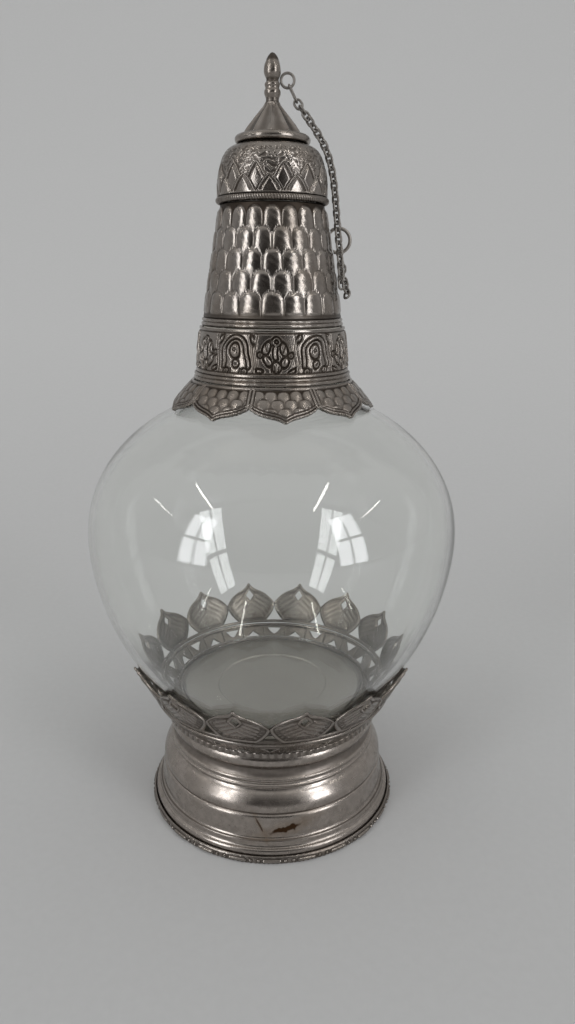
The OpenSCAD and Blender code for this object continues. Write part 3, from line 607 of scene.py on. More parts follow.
def pierced_band(s):
    """The sloping band under the petals, as closed panels. Each is a grid of rays from a pierced triangle out to the
    panel's edge, in front and behind. Triangles point up and down in turn, and fine ribs stand between them."""
    low, high, base, tall = s.collar_radius - 0.2, s.wire_radius + 0.2, s.height + 2.5, 5.6
    middle = 0.5 * (low + high)
    half = 0.5 * math.pi * middle / s.petals
    slope = np.array([tall, low - high]) / math.hypot(tall, high - low)
    panels = []
    upright, hanging = ((-2.9, 0.8), (2.9, 0.8), (0, 3.7)), ((0, 1.9), (3.2, 4.8), (-3.2, 4.8))
    for start, hole in ((0.0, upright), (0.5, hanging)):
        hole = np.array(hole, float)
        centre = hole.mean(0)
        edge = np.array([[-half, 0], [half, 0], [half, tall], [-half, tall]]) - centre
        hole = hole - centre
        corner = np.concatenate([edge, hole])
        corner_turn = np.arctan2(corner[:, 1], corner[:, 0])
        turn = np.unique(np.concatenate([corner_turn, np.radians(np.arange(-178, 180, 3))]))
        way = np.stack([np.cos(turn), np.sin(turn)], -1)
        near, far = ray_reach(way, hole)[:, None], ray_reach(way, edge)[:, None]
        span = near + (far - near) * np.linspace(0, 1, 14)[None]
        x, y = way[:, :1] * span + centre[0], way[:, 1:] * span + centre[1]
        ribs = (0.5 + 0.5 * np.cos(TURN * x / 0.95)) * ease(span - near, 0.5, 0.9) * ease(far - span, 0.2, 0.5)
        rim = ease(near - span, -0.6, -0.2)
        lift = 0.12 * ribs + 0.2 * rim
        x, y = (np.concatenate([a, a[:, ::-3]], 1)[None] for a in (x, y))
        lift = np.concatenate([lift, np.full((len(turn), 5), -0.7)], 1)[None]
        at = s.petal_turn + (np.arange(s.petals) + start)[:, None, None] * TURN / s.petals + x / middle
        tone = np.concatenate([0.4 + 0.6 * np.maximum(ribs, rim), np.full((len(turn), 5), 0.35)], 1)[None]
        points = spin(at, low + (high - low) * y / tall + slope[0] * lift, base + y + slope[1] * lift)
        panels.append(grid(points, relief=np.broadcast_to(tone, points.shape[:3])))
    return panels


def petal_strip(s):
    """The plain strip that joins the petals at their feet."""
    line = flow(np.array([[s.petal_low, s.petal_base]]) + [[0, 0], [0.3, 0.6], [0.55, 1.2]], 3)
    turn = rounds(720)
    milling = 0.06 * np.cos(210 * turn)[:, None] * np.ones(len(line))[None]
    points = sheet_ring(line, 0.75, turn, milling, 3)
    return grid(points, relief=np.full(points.shape[:2], 0.45))


# Flask

def flask_profile(s):
    """The outside from the underside to the lip: flat, a rounded heel, the lower oval r = R sqrt(1 - h^1.8), the upper
    oval r = R sqrt(1 - h^2.1), an arc into the neck, and the straight neck. h is the share of the oval's depth."""
    low_end = math.asin((s.belly - s.base - 2.2) / s.low_depth)
    join = s.neck + s.fillet
    share_up = (1 - (join / s.radius) ** 2) ** (1 / 2.1)
    high_end = math.asin(share_up)
    a = np.linspace(low_end, 0, 90)[:-1]
    lower = np.stack([s.radius * np.sqrt(1 - np.sin(a) ** 1.8), s.belly - s.low_depth * np.sin(a)], -1)
    b = np.linspace(0, high_end, 80)
    upper = np.stack([s.radius * np.sqrt(1 - np.sin(b) ** 2.1), s.belly + s.high_depth * np.sin(b)], -1)
    c = np.radians(np.linspace(0, 90, 10))[1:]
    top = s.belly + s.high_depth * share_up
    arc = np.stack([s.neck + s.fillet * (1 - np.sin(c)), top + s.fillet * (1 - np.cos(c))], -1)
    neck = np.stack([np.full(8, s.neck), np.linspace(arc[-1, 1] + 4, s.lip - 0.6, 8)], -1)
    heel = lower[0]
    under = np.array([[0.0, s.base], [12.0, s.base], [s.flat - 4, s.base], [s.flat, s.base]])
    bend = flow([[s.flat, s.base], (heel + [s.flat, s.base]) / 2 + [0.9, -0.5], heel], 5)[1:-1]
    return np.concatenate([under, bend, lower, upper, arc, neck])


def flask(s):
    """The profile turned round with an inner wall a wall's thickness behind it. The outside and the inside each wander
    by a few slow waves, as blown glass does, so that reflections bend."""
    line = flask_profile(s)
    turn = rounds(240)
    inner = line[4:] - s.wall * outward(line)[4:]
    inner = inner[inner[:, 1] > s.base + s.floor + 1.2]
    heel = inner[0]
    floor_z = s.base + s.floor
    floor = [[0.0, floor_z], [10.0, floor_z], [heel[0] - 4.5, floor_z], [heel[0] - 1.4, floor_z + 0.25]]
    inside = np.concatenate([floor, inner])
    lip = np.array([[s.neck - 0.4, s.lip - 0.1], [s.neck - 1.2, s.lip], [s.neck - s.wall + 0.4, s.lip - 0.1]])
    loop = np.concatenate([line, lip, inside[::-1]])
    z = loop[None, :, 1]
    body = ease(z, 52, 70) * ease(-z, -160, -150)
    face = np.concatenate([np.zeros(len(line) + 3), np.ones(len(inside))])[None]
    t = turn[:, None]
    waver = np.sin(2 * t + z / 23 + face) + 0.6 * np.sin(3 * t - z / 31 + 2 * face + 1)
    waver = waver + 0.3 * np.sin(5 * t + z / 9 + face)
    return grid(spin(t, loop[None, :, 0] + s.waver * 0.5 * waver * body, z + 0 * t), poles=True)


# Neck mount

def skirt(s):
    """The flared skirt. Its lower edge follows the pointed lobes, and every column of the grid runs from that edge
    to the top, so the edge is clean. Each lobe has a raised double line round it, and three rows of scales."""
    u = np.linspace(0, 1, 200)
    z_line = s.skirt_low + s.skirt_height * u**0.94
    r_line = s.skirt_tip + (s.skirt_top - s.skirt_tip) * (0.78 * u + 0.22 * u * u)
    half = math.pi / s.skirt_points
    turn = rounds(1080)
    place = (turn - s.skirt_turn) / (2 * half)
    lobe = np.round(place)
    off = (place - lobe) * 2 * half
    reach = s.skirt_tip * math.sin(half) - 0.4
    k = np.clip(s.skirt_tip * np.sin(half - np.abs(off)) / reach, 0, 1)
    edge_z = s.skirt_low + s.skirt_dip * (1 - ogee(k)) + 0.18 * (1 - k) * np.sin(74 * turn) ** 2
    start = np.interp(edge_z, z_line, u)
    v = np.linspace(0, 1, 62)
    uu = start[:, None] + (1 - start[:, None]) * v[None]
    r, z = np.interp(uu, u, r_line), np.interp(uu, u, z_line)
    line = np.stack([r_line, z_line], -1)
    n = outward(line)
    nr, nz = np.interp(uu, u, n[:, 0]), np.interp(uu, u, n[:, 1])
    length = np.concatenate([[0], np.cumsum(np.linalg.norm(np.diff(line, axis=0), axis=1))])
    y = np.interp(uu, u, length) - np.interp(start, u, length)[:, None]
    deep = np.interp(uu, u, length)
    side = (half - np.abs(off))[:, None] * r
    rim = ease(-y, -0.95, -0.55) + 0.8 * ease(y, 1.15, 1.4) * ease(-y, -1.95, -1.7)
    posts = 0.9 * ease(side, 0.12, 0.4) * ease(-side, -1.15, -0.85)
    tops = [12.4 - 3.3 * row for row in range(3)]
    fill = thumbs((off / (2 * half) * 5)[:, None], 2 * half * r / 5, deep, tops, 2.2, 5.2, 31)
    fill = fill * ease(side, 1.2, 1.6) * ease(y, 2.1, 2.5)
    top_line = ease(deep, length[-1] - 0.9, length[-1] - 0.6)
    relief = np.clip(np.maximum.reduce([rim, posts, fill, top_line]), 0, 1)
    ticks = 0.05 * np.sin(260 * turn)[:, None] * ease(-y, -1.2, -0.2)
    lift = s.relief * relief * 0.9 + ticks - 0.3 * ease(-y, -0.25, 0)
    front = spin(turn[:, None], r + nr * lift, z + nz * lift)
    pick = [61, 40, 18, 3, 0]
    rear = spin(turn[:, None], r[:, pick] - 0.75 * nr[:, pick], z[:, pick] - 0.75 * nz[:, pick])
    return grid(np.concatenate([front, rear], 1), relief=with_back(0.1 + 0.9 * relief**1.3, 5))


def moulding(radius, base, height, seed):
    """A band with two rounded wires: the radius follows a half circle at each wire, with faint hammering."""
    t = np.linspace(0, 1, 40)
    thick = 0.29 * np.sqrt(np.clip(1 - ((t - 0.3) / 0.27) ** 2, 0, 1))
    thin = 0.22 * np.sqrt(np.clip(1 - ((t - 0.75) / 0.2) ** 2, 0, 1))
    wires = np.maximum(thick, thin)
    line = np.stack([radius - 0.75 + wires * height, base + height * t], -1)
    turn = rounds(540)
    hammer = 0.05 * np.sin(17 * turn + seed)[:, None] * np.sin(9 * t)[None]
    hammer = hammer + 0.04 * np.sin(41 * turn + 2 * seed)[:, None]
    points = spin(turn[:, None], line[None, :, 0] + hammer, line[None, :, 1])
    rear = spin(turn[:, None], np.full((1, 2), radius - 1.6), line[None, [-1, 0], 1])
    tone = np.broadcast_to(0.1 + 0.9 * np.clip(wires / 0.2, 0, 1), (540, 40))
    return grid(np.concatenate([points, rear], 1), relief=with_back(tone, 2))


def flower_panel(x, y):
    """Outlines of an arch on two curls with a seed drop, beads and leaves, in millimetres, alike on both sides."""
    a = np.abs(x)
    arch = np.where(y > 8.6, hoop(a, y, 0, 8.6, 4.2, 0.75), bar(a, y, 4.2, 8.6, 4.75, 3.6, 0.75))
    return (
        arch, oval(a, y, 0, 8.3, 1.9, 2.6), oval(a, y, 0, 4.2, 1.25, 1.5), disc(a, y, 3.6, 2.0, 1.1),
        oval(a, y, 6.1, 12.4, 0.8, 1.9, 30),
    )


def flower_marks(x, y):
    """Outlines sunk inside the arch's shapes."""
    a = np.abs(x)
    return (
        disc(a, y, 0, 8.7, 0.5), disc(a, y, 0, 4.1, 0.35), disc(a, y, 3.6, 2.0, 0.3),
        bar(a, y, 1.7, 1.2, 1.9, 2.6, 0.1),
    )


def scroll_panel(x, y):
    """Outlines of a stem with a ring at its top, lobed leaves, a scroll on each side and a fan at its foot."""
    a = np.abs(x)
    return (
        bar(a, y, 0, 6.2, 0, 9.4, 0.85), hoop(a, y, 0, 11.4, 1.1, 0.55), oval(a, y, 2.9, 9.3, 1.3, 2.5, 26),
        oval(a, y, 3.0, 5.2, 1.2, 2.3, -34), oval(a, y, 0, 3.1, 1.5, 2.1), disc(a, y, 5.4, 7.4, 0.95),
        oval(a, y, 5.5, 2.2, 1.4, 0.8, 24),
    )


def scroll_marks(x, y):
    """Outlines sunk inside the stem's fan and leaves."""
    a = np.abs(x)
    return bar(a, y, 0.55, 1.6, 0.75, 3.4, 0.08), bar(a, y, 2.8, 8.2, 3.2, 10.4, 0.08), disc(a, y, 5.4, 7.4, 0.3)


def frieze(s):
    """The frieze: a conical band with panels of two kinds in turn, whose shapes are outlined by chased lines."""
    turn = rounds(1200)
    t = np.linspace(0, 1, 80)
    line = np.stack([s.frieze_low + (s.frieze_high - s.frieze_low) * t, s.frieze_base + s.frieze_height * t], -1)
    y = (s.frieze_height * t)[None]
    place = ((turn - s.frieze_turn) / TURN * s.frieze_panels)[:, None]
    cell = np.round(place)
    width = TURN * line[None, :, 0] / s.frieze_panels
    x = (place - cell) * width + 0.3 * np.sin(y * 0.7 + 5 * chance(cell, 6))
    yy = y + 0.3 * np.sin(x * 0.6 + 6 * chance(cell, 8))
    odd = cell % 2 == 0
    near = np.where(odd, np.minimum.reduce(scroll_panel(x, yy)), np.minimum.reduce(flower_panel(x, yy)))
    height, groove = chased(near, line=0.26, swell=1.3)
    inner = np.where(odd, np.minimum.reduce(scroll_marks(x, yy)), np.minimum.reduce(flower_marks(x, yy)))
    marks = np.exp(-((inner / 0.24) ** 2))
    post = np.exp(-(((0.5 * width - np.abs(x) - 0.55) / 0.22) ** 2))
    rails = np.exp(-(((y - 1.15) / 0.22) ** 2)) + np.exp(-(((s.frieze_height - 1.15 - y) / 0.22) ** 2))
    inside = ease(y, 1.1, 1.6) * ease(-y, 1.1 - s.frieze_height, 1.6 - s.frieze_height)
    dark = np.clip(np.maximum(np.maximum(groove, marks), 0.8 * post) * inside + rails, 0, 1)
    around, up = turn[:, None] * 330 + 2.5 * np.sin(9 * y), y * 11 + 2 * np.sin(70 * turn[:, None])
    pits = 0.5 + 0.5 * np.sin(around) * np.sin(up)
    ground = inside * (1 - ease(height, 0.2, 0.45))
    lift = -0.5 + s.relief * (0.55 + 0.9 * height * inside - 0.75 * dark) - 0.12 * pits * ground
    lift = np.clip(lift, -0.85, 0.4)
    points = sheet_ring(line, 1.3, turn, lift, 4)
    tone = np.clip(0.95 - 0.9 * dark - 0.35 * pits * ground, 0, 1)
    return grid(points, relief=with_back(tone, points.shape[1] - 80))


def scaled_sleeve(s):
    """The sleeve: a cone carrying rows of thumb-shaped scales, each a little different."""
    turn = rounds(1080)
    t = np.linspace(0, 1, 80)
    line = np.stack([s.sleeve_low + (s.sleeve_high - s.sleeve_low) * t, s.sleeve_base + s.sleeve_height * t], -1)
    y = line[None, :, 1]
    k = (turn / TURN * s.scales)[:, None]
    tops = [s.sleeve_base + s.sleeve_height - 1.0 - s.scale_step * row for row in range(s.scale_rows)]
    height = thumbs(k, TURN * line[None, :, 0] / s.scales, y, tops, 3.4, 1.55 * s.scale_step, 7)
    foot = s.sleeve_base + 1.0
    height = height * ease(y, foot - 0.1, foot + 0.8)
    brim = ease(-y, -foot - 0.2, -foot + 0.2) * 0.25
    dents = 0.05 * np.sin(23 * turn[:, None] + y * 0.9) * np.sin(y * 1.7 + 11 * turn[:, None])
    lift = 1.25 * s.relief * height - 0.15 + brim + dents * height
    points = sheet_ring(line, 0.9, turn, lift, 4)
    tone = np.clip(1.5 * height + brim, 0, 1)
    return grid(points, relief=with_back(tone, points.shape[1] - 80))


def milled_wire(s):
    """A twisted wire ring: its round section is lifted by a cosine that runs along the ring and round the section."""
    turn, bend = rounds(1188), rounds(16)
    twist = np.cos(s.rope_turns * turn[:, None] + 2 * bend[None])
    thick = 0.5 * s.rope_height * (0.95 + 0.05 * twist)
    middle = s.rope_radius - 0.5 * s.rope_height
    z = s.rope_base + 0.5 * s.rope_height
    points = spin(turn[:, None], middle + thick * np.cos(bend)[None], z + thick * np.sin(bend)[None])
    return grid(points, relief=0.6 + 0.4 * twist)


def dome(s):
    """The dome r = r_top + (r_low - r_top) sqrt(1 - t^3.2), with two rows of pointed leaves over a stippled ground,
    whose pits are where products of bent sine waves are high."""
    t = 1 - (1 - np.linspace(0, 1, 78)) ** 1.15
    radius = s.dome_top + (s.dome_radius - s.dome_top) * np.sqrt(1 - t**3.2)
    line = np.stack([radius, s.dome_base + s.dome_height * t], -1)
    line[-1] = [s.dome_top, s.dome_base + s.dome_height]
    turn = rounds(1050)
    y = line[None, :, 1] - s.dome_base
    k = (turn / TURN * s.leaves)[:, None] + 0.1
    width = TURN * line[None, :, 0] / s.leaves
    tall, tall_line, in_tall = leaf_row(k + 0.5, width, y, -2.5, 9.6, 3)
    short, short_line, in_short = leaf_row(k, width, y, -3.0, 5.6, 5)
    leaves = np.where(in_short, short, np.where(in_tall, 0.9 * tall, 0))
    dark = np.where(in_short, short_line, np.where(in_tall, tall_line, 0))
    a, b = turn[:, None] * 21, y * 1.9
    pits = ease(np.sin(a + 2.2 * np.sin(0.7 * b + 0.6 * a)) * np.sin(b + 2.4 * np.sin(0.8 * a + 1)), 0.0, 0.7)
    pits = np.maximum(pits, ease(np.sin(1.7 * a + 2 * np.sin(b)) * np.sin(2.3 * b + 2 * np.sin(1.3 * a)), 0.2, 0.8))
    punched = pits * (1 - np.maximum(in_short, in_tall)) * ease(-y, -s.dome_height + 0.8, -s.dome_height + 2.2)
    base = ease(-y, -0.75, -0.45)
    lift = s.relief * (0.85 * np.maximum(leaves, base) - 0.35 * dark) - 0.17 * punched - 0.12
    points = sheet_ring(line, 0.85, turn, np.minimum(lift, 0.42), 5)
    tone = np.where(in_short | in_tall, 0.95 - 0.85 * dark, 0.9 - 0.6 * punched)
    tone = np.maximum(tone, base)
    return grid(points, relief=with_back(tone, points.shape[1] - 78))


# Cap

def cap_rim(s):
    """A round roll on the edge of a flat plate, with a few dents."""
    turn = rounds(360)
    mid, roll = s.radius - 0.5 * s.roll, 0.5 * s.roll
    a = np.radians(np.linspace(-90, 160, 28))
    edge = np.stack([mid + roll * np.cos(a), s.base + roll + roll * np.sin(a)], -1)
    under, over = s.base, s.base + 1.0
    line = np.concatenate([[[1.35, under], [6.0, under]], edge, [[mid - roll, over], [6.0, over], [1.35, over]]])
    dent = 0.08 * np.sin(5 * turn + 0.7) + 0.05 * np.sin(13 * turn) - 0.12 * np.exp(-((turn - 5.7) / 0.09) ** 2)
    push = np.zeros(len(line))
    push[2:30] = 1
    points = spin(turn[:, None], line[None, :, 0] + dent[:, None] * push[None], line[None, :, 1])
    tone = np.concatenate([[0.3, 0.3], np.full(26, 1.0), [0.5, 0.2], [0.15, 0.3, 0.3]])
    return grid(points, relief=np.broadcast_to(tone, points.shape[:2]))


CONE_FORM = ((0, 1), (0.15, 0.995), (0.32, 0.84), (0.48, 0.63), (0.64, 0.42), (0.8, 0.2), (0.93, 0.04), (1, 0))


def fluted_cone(s):
    """The cone's profile turned round. Its ribs are the peaks of a rectified cosine, so the flutes between them are
    hollow and the ribs are sharp; both fade toward the top."""
    base = s.base + 1.15
    form = np.array(CONE_FORM)
    radius = s.cone_top + form[:, 1] * (s.cone_base - s.cone_top)
    line = flow(np.stack([radius, base + form[:, 0] * s.cone_height], -1), 8)
    turn = rounds(480)
    t = (line[:, 1] - base) / s.cone_height
    rib = 1 - np.abs(np.sin(0.5 * s.ribs * turn + 0.25))[:, None] ** 0.9
    swell = ease(t, 0.06, 0.2) * (1 - t) ** 0.5
    lift = 1.25 * rib * swell[None] - 0.75 * swell[None]
    points = sheet_ring(line, 0.75, turn, lift, 8)
    tone = np.clip(0.3 + 0.7 * rib * np.ones(len(line))[None] + 0.2 * (1 - swell), 0, 1)
    return grid(points, relief=with_back(tone, points.shape[1] - len(line)))


FINIAL_FORM = (
    (0, 0.8), (0.08, 0.8), (0.12, 0.9), (0.17, 1), (0.23, 0.98), (0.27, 0.86), (0.3, 0.84), (0.34, 0.92), (0.38, 0.9),
    (0.42, 0.76), (0.46, 0.74), (0.5, 0.84), (0.57, 1), (0.68, 1), (0.8, 0.84), (0.92, 0.54), (0.98, 0.25),
)


def finial(s):
    """The finial's profile turned round and closed at both ends, a little uneven as cast and filed by hand."""
    base = s.base + 1.15 + s.cone_height + 0.15
    form = np.array(FINIAL_FORM)
    line = flow(np.stack([form[:, 1] * s.finial_radius, base + form[:, 0] * s.finial_height], -1), 6)
    line = np.concatenate([[[0, base], [1.2, base]], line, [[0, base + s.finial_height]]])
    turn = rounds(96)
    uneven = 0.05 * np.sin(3 * turn)[:, None] * np.sin(line[None, :, 1] * 1.1) + 0.03 * np.sin(7 * turn)[:, None]
    rim = (line[:, 0] > 0.5)[None]
    tone = np.clip((line[:, 0] / s.finial_radius - 0.7) / 0.2, 0.15, 1)
    return grid(
        spin(turn[:, None], line[None, :, 0] + uneven * rim, line[None, :, 1]),
        poles=True, relief=np.broadcast_to(tone, (96, len(line))),
    )


# Finishes

def put(tree, kind, sockets=None, **settings):
    """Adds a node. A socket is given by its name or number, as a value or as another node's output."""
    node = tree.nodes.new("ShaderNode" + kind)
    for name, value in settings.items():
        setattr(node, name, value)
    for name, value in (sockets or {}).items():
        if isinstance(value, bpy.types.NodeSocket):
            tree.links.new(value, node.inputs[name])
        else:
            node.inputs[name].default_value = value
    return node


def blend(tree, amount, low, high):
    """A colour between two, as a socket."""
    return put(tree, "Mix", {0: amount, 6: low, 7: high}, data_type="RGBA").outputs[2]


def scaled(tree, value, low, high, to_low=0.0, to_high=1.0):
    """A value mapped from one range to another and kept inside it."""
    return put(tree, "MapRange", {0: value, 1: low, 2: high, 3: to_low, 4: to_high}).outputs[0]


def sums(tree, kind, first, second):
    """Two values put together by a sum, a product or the like, kept from 0 to 1."""
    return put(tree, "Math", {0: first, 1: second}, operation=kind, use_clamp=True).outputs[0]


def noise(tree, where, scale, detail=3.0, rough=0.55):
    """Fractal noise on the object's coordinates, at so many features a metre."""
    sockets = {"Vector": where, "Scale": scale, "Detail": detail, "Roughness": rough}
    return put(tree, "TexNoise", sockets).outputs["Fac"]


def new_finish(name):
    """An empty material."""
    made = bpy.data.materials.new(name)
    made.use_nodes = True
    made.node_tree.nodes.clear()
    return made, made.node_tree


def close_finish(tree, shader):
    """Joins the shader to the material's output."""
    tree.links.new(shader, put(tree, "OutputMaterial").inputs[0])


def rgba(colour, times=1.0):
    """A colour with full cover."""
    return (*[c * times for c in colour], 1.0)


# Marks on the foot, in metres: centre, lean, one over half the size each way, ragged edge, and how dark
MARKS = (
    ((0.0048, -0.046, 0.0122), math.radians(16), (170.0, 60.0, 850.0), (0.0042, 0.0, 0.0042), 1.0),
    ((-0.0047, -0.0459, 0.0139), math.radians(-64), (330.0, 60.0, 2400.0), (0.0008, 0.0, 0.0008), 0.8),
)


def metal_finish(name, bright, colours, rough, film=0.5, grain=0.35, lathe=0.0, worked=True, stain=False):
    """Tarnished metal. Hollows, from the relief attribute, hold a dark film, which on the spun foot is painted shade
    in its cove, creases and bottom; open faces carry brown clouds and a fine grain; roughness follows the clouds;
    lathe adds rings round the axis, and stain the marks on the foot."""
    made, tree = new_finish(name)
    where = put(tree, "TexCoord").outputs["Object"]
    cloud = noise(tree, where, 55, 5, 0.62)
    small = noise(tree, where, 420, 4, 0.6)
    fine = noise(tree, where, 2600, 2, 0.5)
    if worked:
        # On the spun foot this relief carries painted shade in the cove, the creases and the bottom, so the dark film
        # there is painted shade.
        relief = put(tree, "Attribute", attribute_name="relief").outputs["Fac"]
        open_face = scaled(tree, relief, 0.08, 0.72)
        open_face = sums(tree, "MULTIPLY", open_face, scaled(tree, small, 0.3, 0.62, 0.72, 1.0))
    else:
        open_face = scaled(tree, small, 0.32, 0.6, 0.55, 1.0)
    brown = blend(tree, scaled(tree, cloud, 0.42, 0.72, 0.0, film), rgba(bright), rgba(colours.tarnish))
    colour = blend(tree, open_face, rgba(colours.patina), brown)
    roughness = scaled(tree, cloud, 0.3, 0.7, rough - 0.05, rough + 0.13)
    hollow = scaled(tree, open_face, 0.0, 1.0, 0.28, 0.0)
    dull = put(tree, "Math", {0: hollow, 1: roughness}, operation="ADD").outputs[0]
    bumps = put(tree, "Math", {0: small, 1: fine}, operation="ADD").outputs[0]
    if lathe:
        axis = put(tree, "SeparateXYZ", {0: where})
        rings = put(tree, "CombineXYZ", {0: 0.0, 1: 0.0, 2: axis.outputs[2]}).outputs[0]
        lines = noise(tree, rings, 3800, 3, 0.7)
        bumps = put(tree, "Math", {0: lines, 1: lathe, 2: bumps}, operation="MULTIPLY_ADD").outputs[0]
        turned = scaled(tree, lines, 0.35, 0.65, -0.02, 0.04)
        dull = put(tree, "Math", {0: turned, 1: dull}, operation="ADD").outputs[0]
    if stain:
        ragged = put(tree, "TexNoise", {"Vector": where, "Scale": 330.0, "Detail": 3.0}).outputs["Color"]
        ragged = put(tree, "VectorMath", {0: ragged, 1: (0.5, 0.5, 0.5)}, operation="SUBTRACT").outputs[0]
        for centre, lean, spread, ragging, depth in MARKS:
            placed = put(tree, "VectorMath", {0: where, 1: centre}, operation="SUBTRACT").outputs[0]
            tilted = put(tree, "VectorRotate", {"Vector": placed, "Angle": lean}, rotation_type="Y_AXIS").outputs[0]
            uneven = put(tree, "VectorMath", {0: ragged, 1: ragging, 2: tilted}, operation="MULTIPLY_ADD").outputs[0]
            grown = put(tree, "VectorMath", {0: uneven, 1: spread}, operation="MULTIPLY").outputs[0]
            far = put(tree, "VectorMath", {0: grown}, operation="LENGTH").outputs["Value"]
            mark = scaled(tree, far, 1.15, 0.75, 0.0, depth)
            halo = scaled(tree, far, 3.2, 1.0, 0.0, 0.35 * depth)
            colour = blend(tree, halo, colour, (0.25, 0.17, 0.10, 1))
            colour = blend(tree, mark, colour, (0.06, 0.032, 0.016, 1))
            dull = put(tree, "Math", {0: mark, 1: 0.25, 2: dull}, operation="MULTIPLY_ADD").outputs[0]
    bump = put(tree, "Bump", {"Strength": grain, "Distance": 0.00009, "Height": bumps}).outputs[0]
    shader = put(tree, "BsdfPrincipled", {"Base Color": colour, "Metallic": 1.0, "Roughness": dull, "Normal": bump})
    close_finish(tree, shader.outputs[0])
    return made


def glass_finish(name, colours):
    """Clear blown glass with faint threads in its surface. Light that only casts shadow passes almost whole."""
    made, tree = new_finish(name)
    where = put(tree, "TexCoord").outputs["Object"]
    stretched = put(tree, "Mapping", {"Vector": where, "Scale": (1.0, 1.0, 0.35)}).outputs[0]
    threads = noise(tree, stretched, 60, 2, 0.4)
    bump = put(tree, "Bump", {"Strength": 0.05, "Distance": 0.0004, "Height": threads}).outputs[0]
    glass = put(tree, "BsdfPrincipled", {
        "Base Color": rgba(colours.glass), "Roughness": 0.0, "IOR": 1.5, "Transmission Weight": 1.0, "Normal": bump})
    clear = put(tree, "BsdfTransparent", {0: (0.95, 0.96, 0.95, 1)})
    shadow = put(tree, "LightPath").outputs["Is Shadow Ray"]
    mixed = put(tree, "MixShader", {0: shadow, 1: glass.outputs[0], 2: clear.outputs[0]})
    close_finish(tree, mixed.outputs[0])
    return made


def cork_finish(name, colours):
    """Cork: pale cells with dark pores, dry and soft."""
    made, tree = new_finish(name)
    where = put(tree, "TexCoord").outputs["Object"]
    pores = put(tree, "TexVoronoi", {"Vector": where, "Scale": 900.0}).outputs["Distance"]
    cloud = noise(tree, where, 350, 4)
    body = blend(tree, scaled(tree, cloud, 0.3, 0.7), rgba(colours.cork, 0.75), rgba(colours.cork, 1.2))
    colour = blend(tree, scaled(tree, pores, 0.12, 0.3), (0.11, 0.06, 0.03, 1), body)
    bump = put(tree, "Bump", {"Strength": 0.5, "Distance": 0.0002, "Height": pores}).outputs[0]
    shader = put(tree, "BsdfPrincipled", {"Base Color": colour, "Roughness": 0.85, "Normal": bump})
    close_finish(tree, shader.outputs[0])
    return made


def plaster_finish(name, colours):
    """Setting plaster: off-white, with grit and a few grey clouds."""
    made, tree = new_finish(name)
    where = put(tree, "TexCoord").outputs["Object"]
    grit, cloud = noise(tree, where, 1500, 3), noise(tree, where, 120, 4)
    colour = blend(tree, scaled(tree, cloud, 0.35, 0.7), rgba(colours.plaster), rgba(colours.plaster, 0.8))
    bump = put(tree, "Bump", {"Strength": 0.4, "Distance": 0.0003, "Height": grit}).outputs[0]
    shader = put(tree, "BsdfPrincipled", {"Base Color": colour, "Roughness": 0.95, "Normal": bump})
    close_finish(tree, shader.outputs[0])
    return made


def finish(name):
    """The finish of that name, made when it is first asked for."""
    if name in bpy.data.materials:
        return bpy.data.materials[name]
    c = bpy.context.scene.sprinkler_finish
    rough = c.roughness
    made = {
        "embossed_metal": lambda: metal_finish("embossed_metal", c.metal, c, rough, film=0.55),
        "spun_metal": lambda: metal_finish(
            "spun_metal", c.foot, c, rough, film=0.2, grain=0.07, lathe=0.35, stain=True
        ),
        "plain_metal": lambda: metal_finish("plain_metal", c.dull, c, rough + 0.1, film=0.7, worked=False),
        "dull_metal": lambda: metal_finish("dull_metal", c.dull, c, 0.5, film=0.35, worked=False),
        "chain_metal": lambda: metal_finish("chain_metal", c.chain, c, 0.34, film=0.5, worked=False),
        "blown_glass": lambda: glass_finish("blown_glass", c),
        "cork": lambda: cork_finish("cork", c),
        "plaster": lambda: plaster_finish("plaster", c),
    }
    return made[name]()


def dress(node, name):
    """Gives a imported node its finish, and leaves its mesh and place alone."""
    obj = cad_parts[node]
    obj.data.materials.clear()
    obj.data.materials.append(finish(name))


# Operators

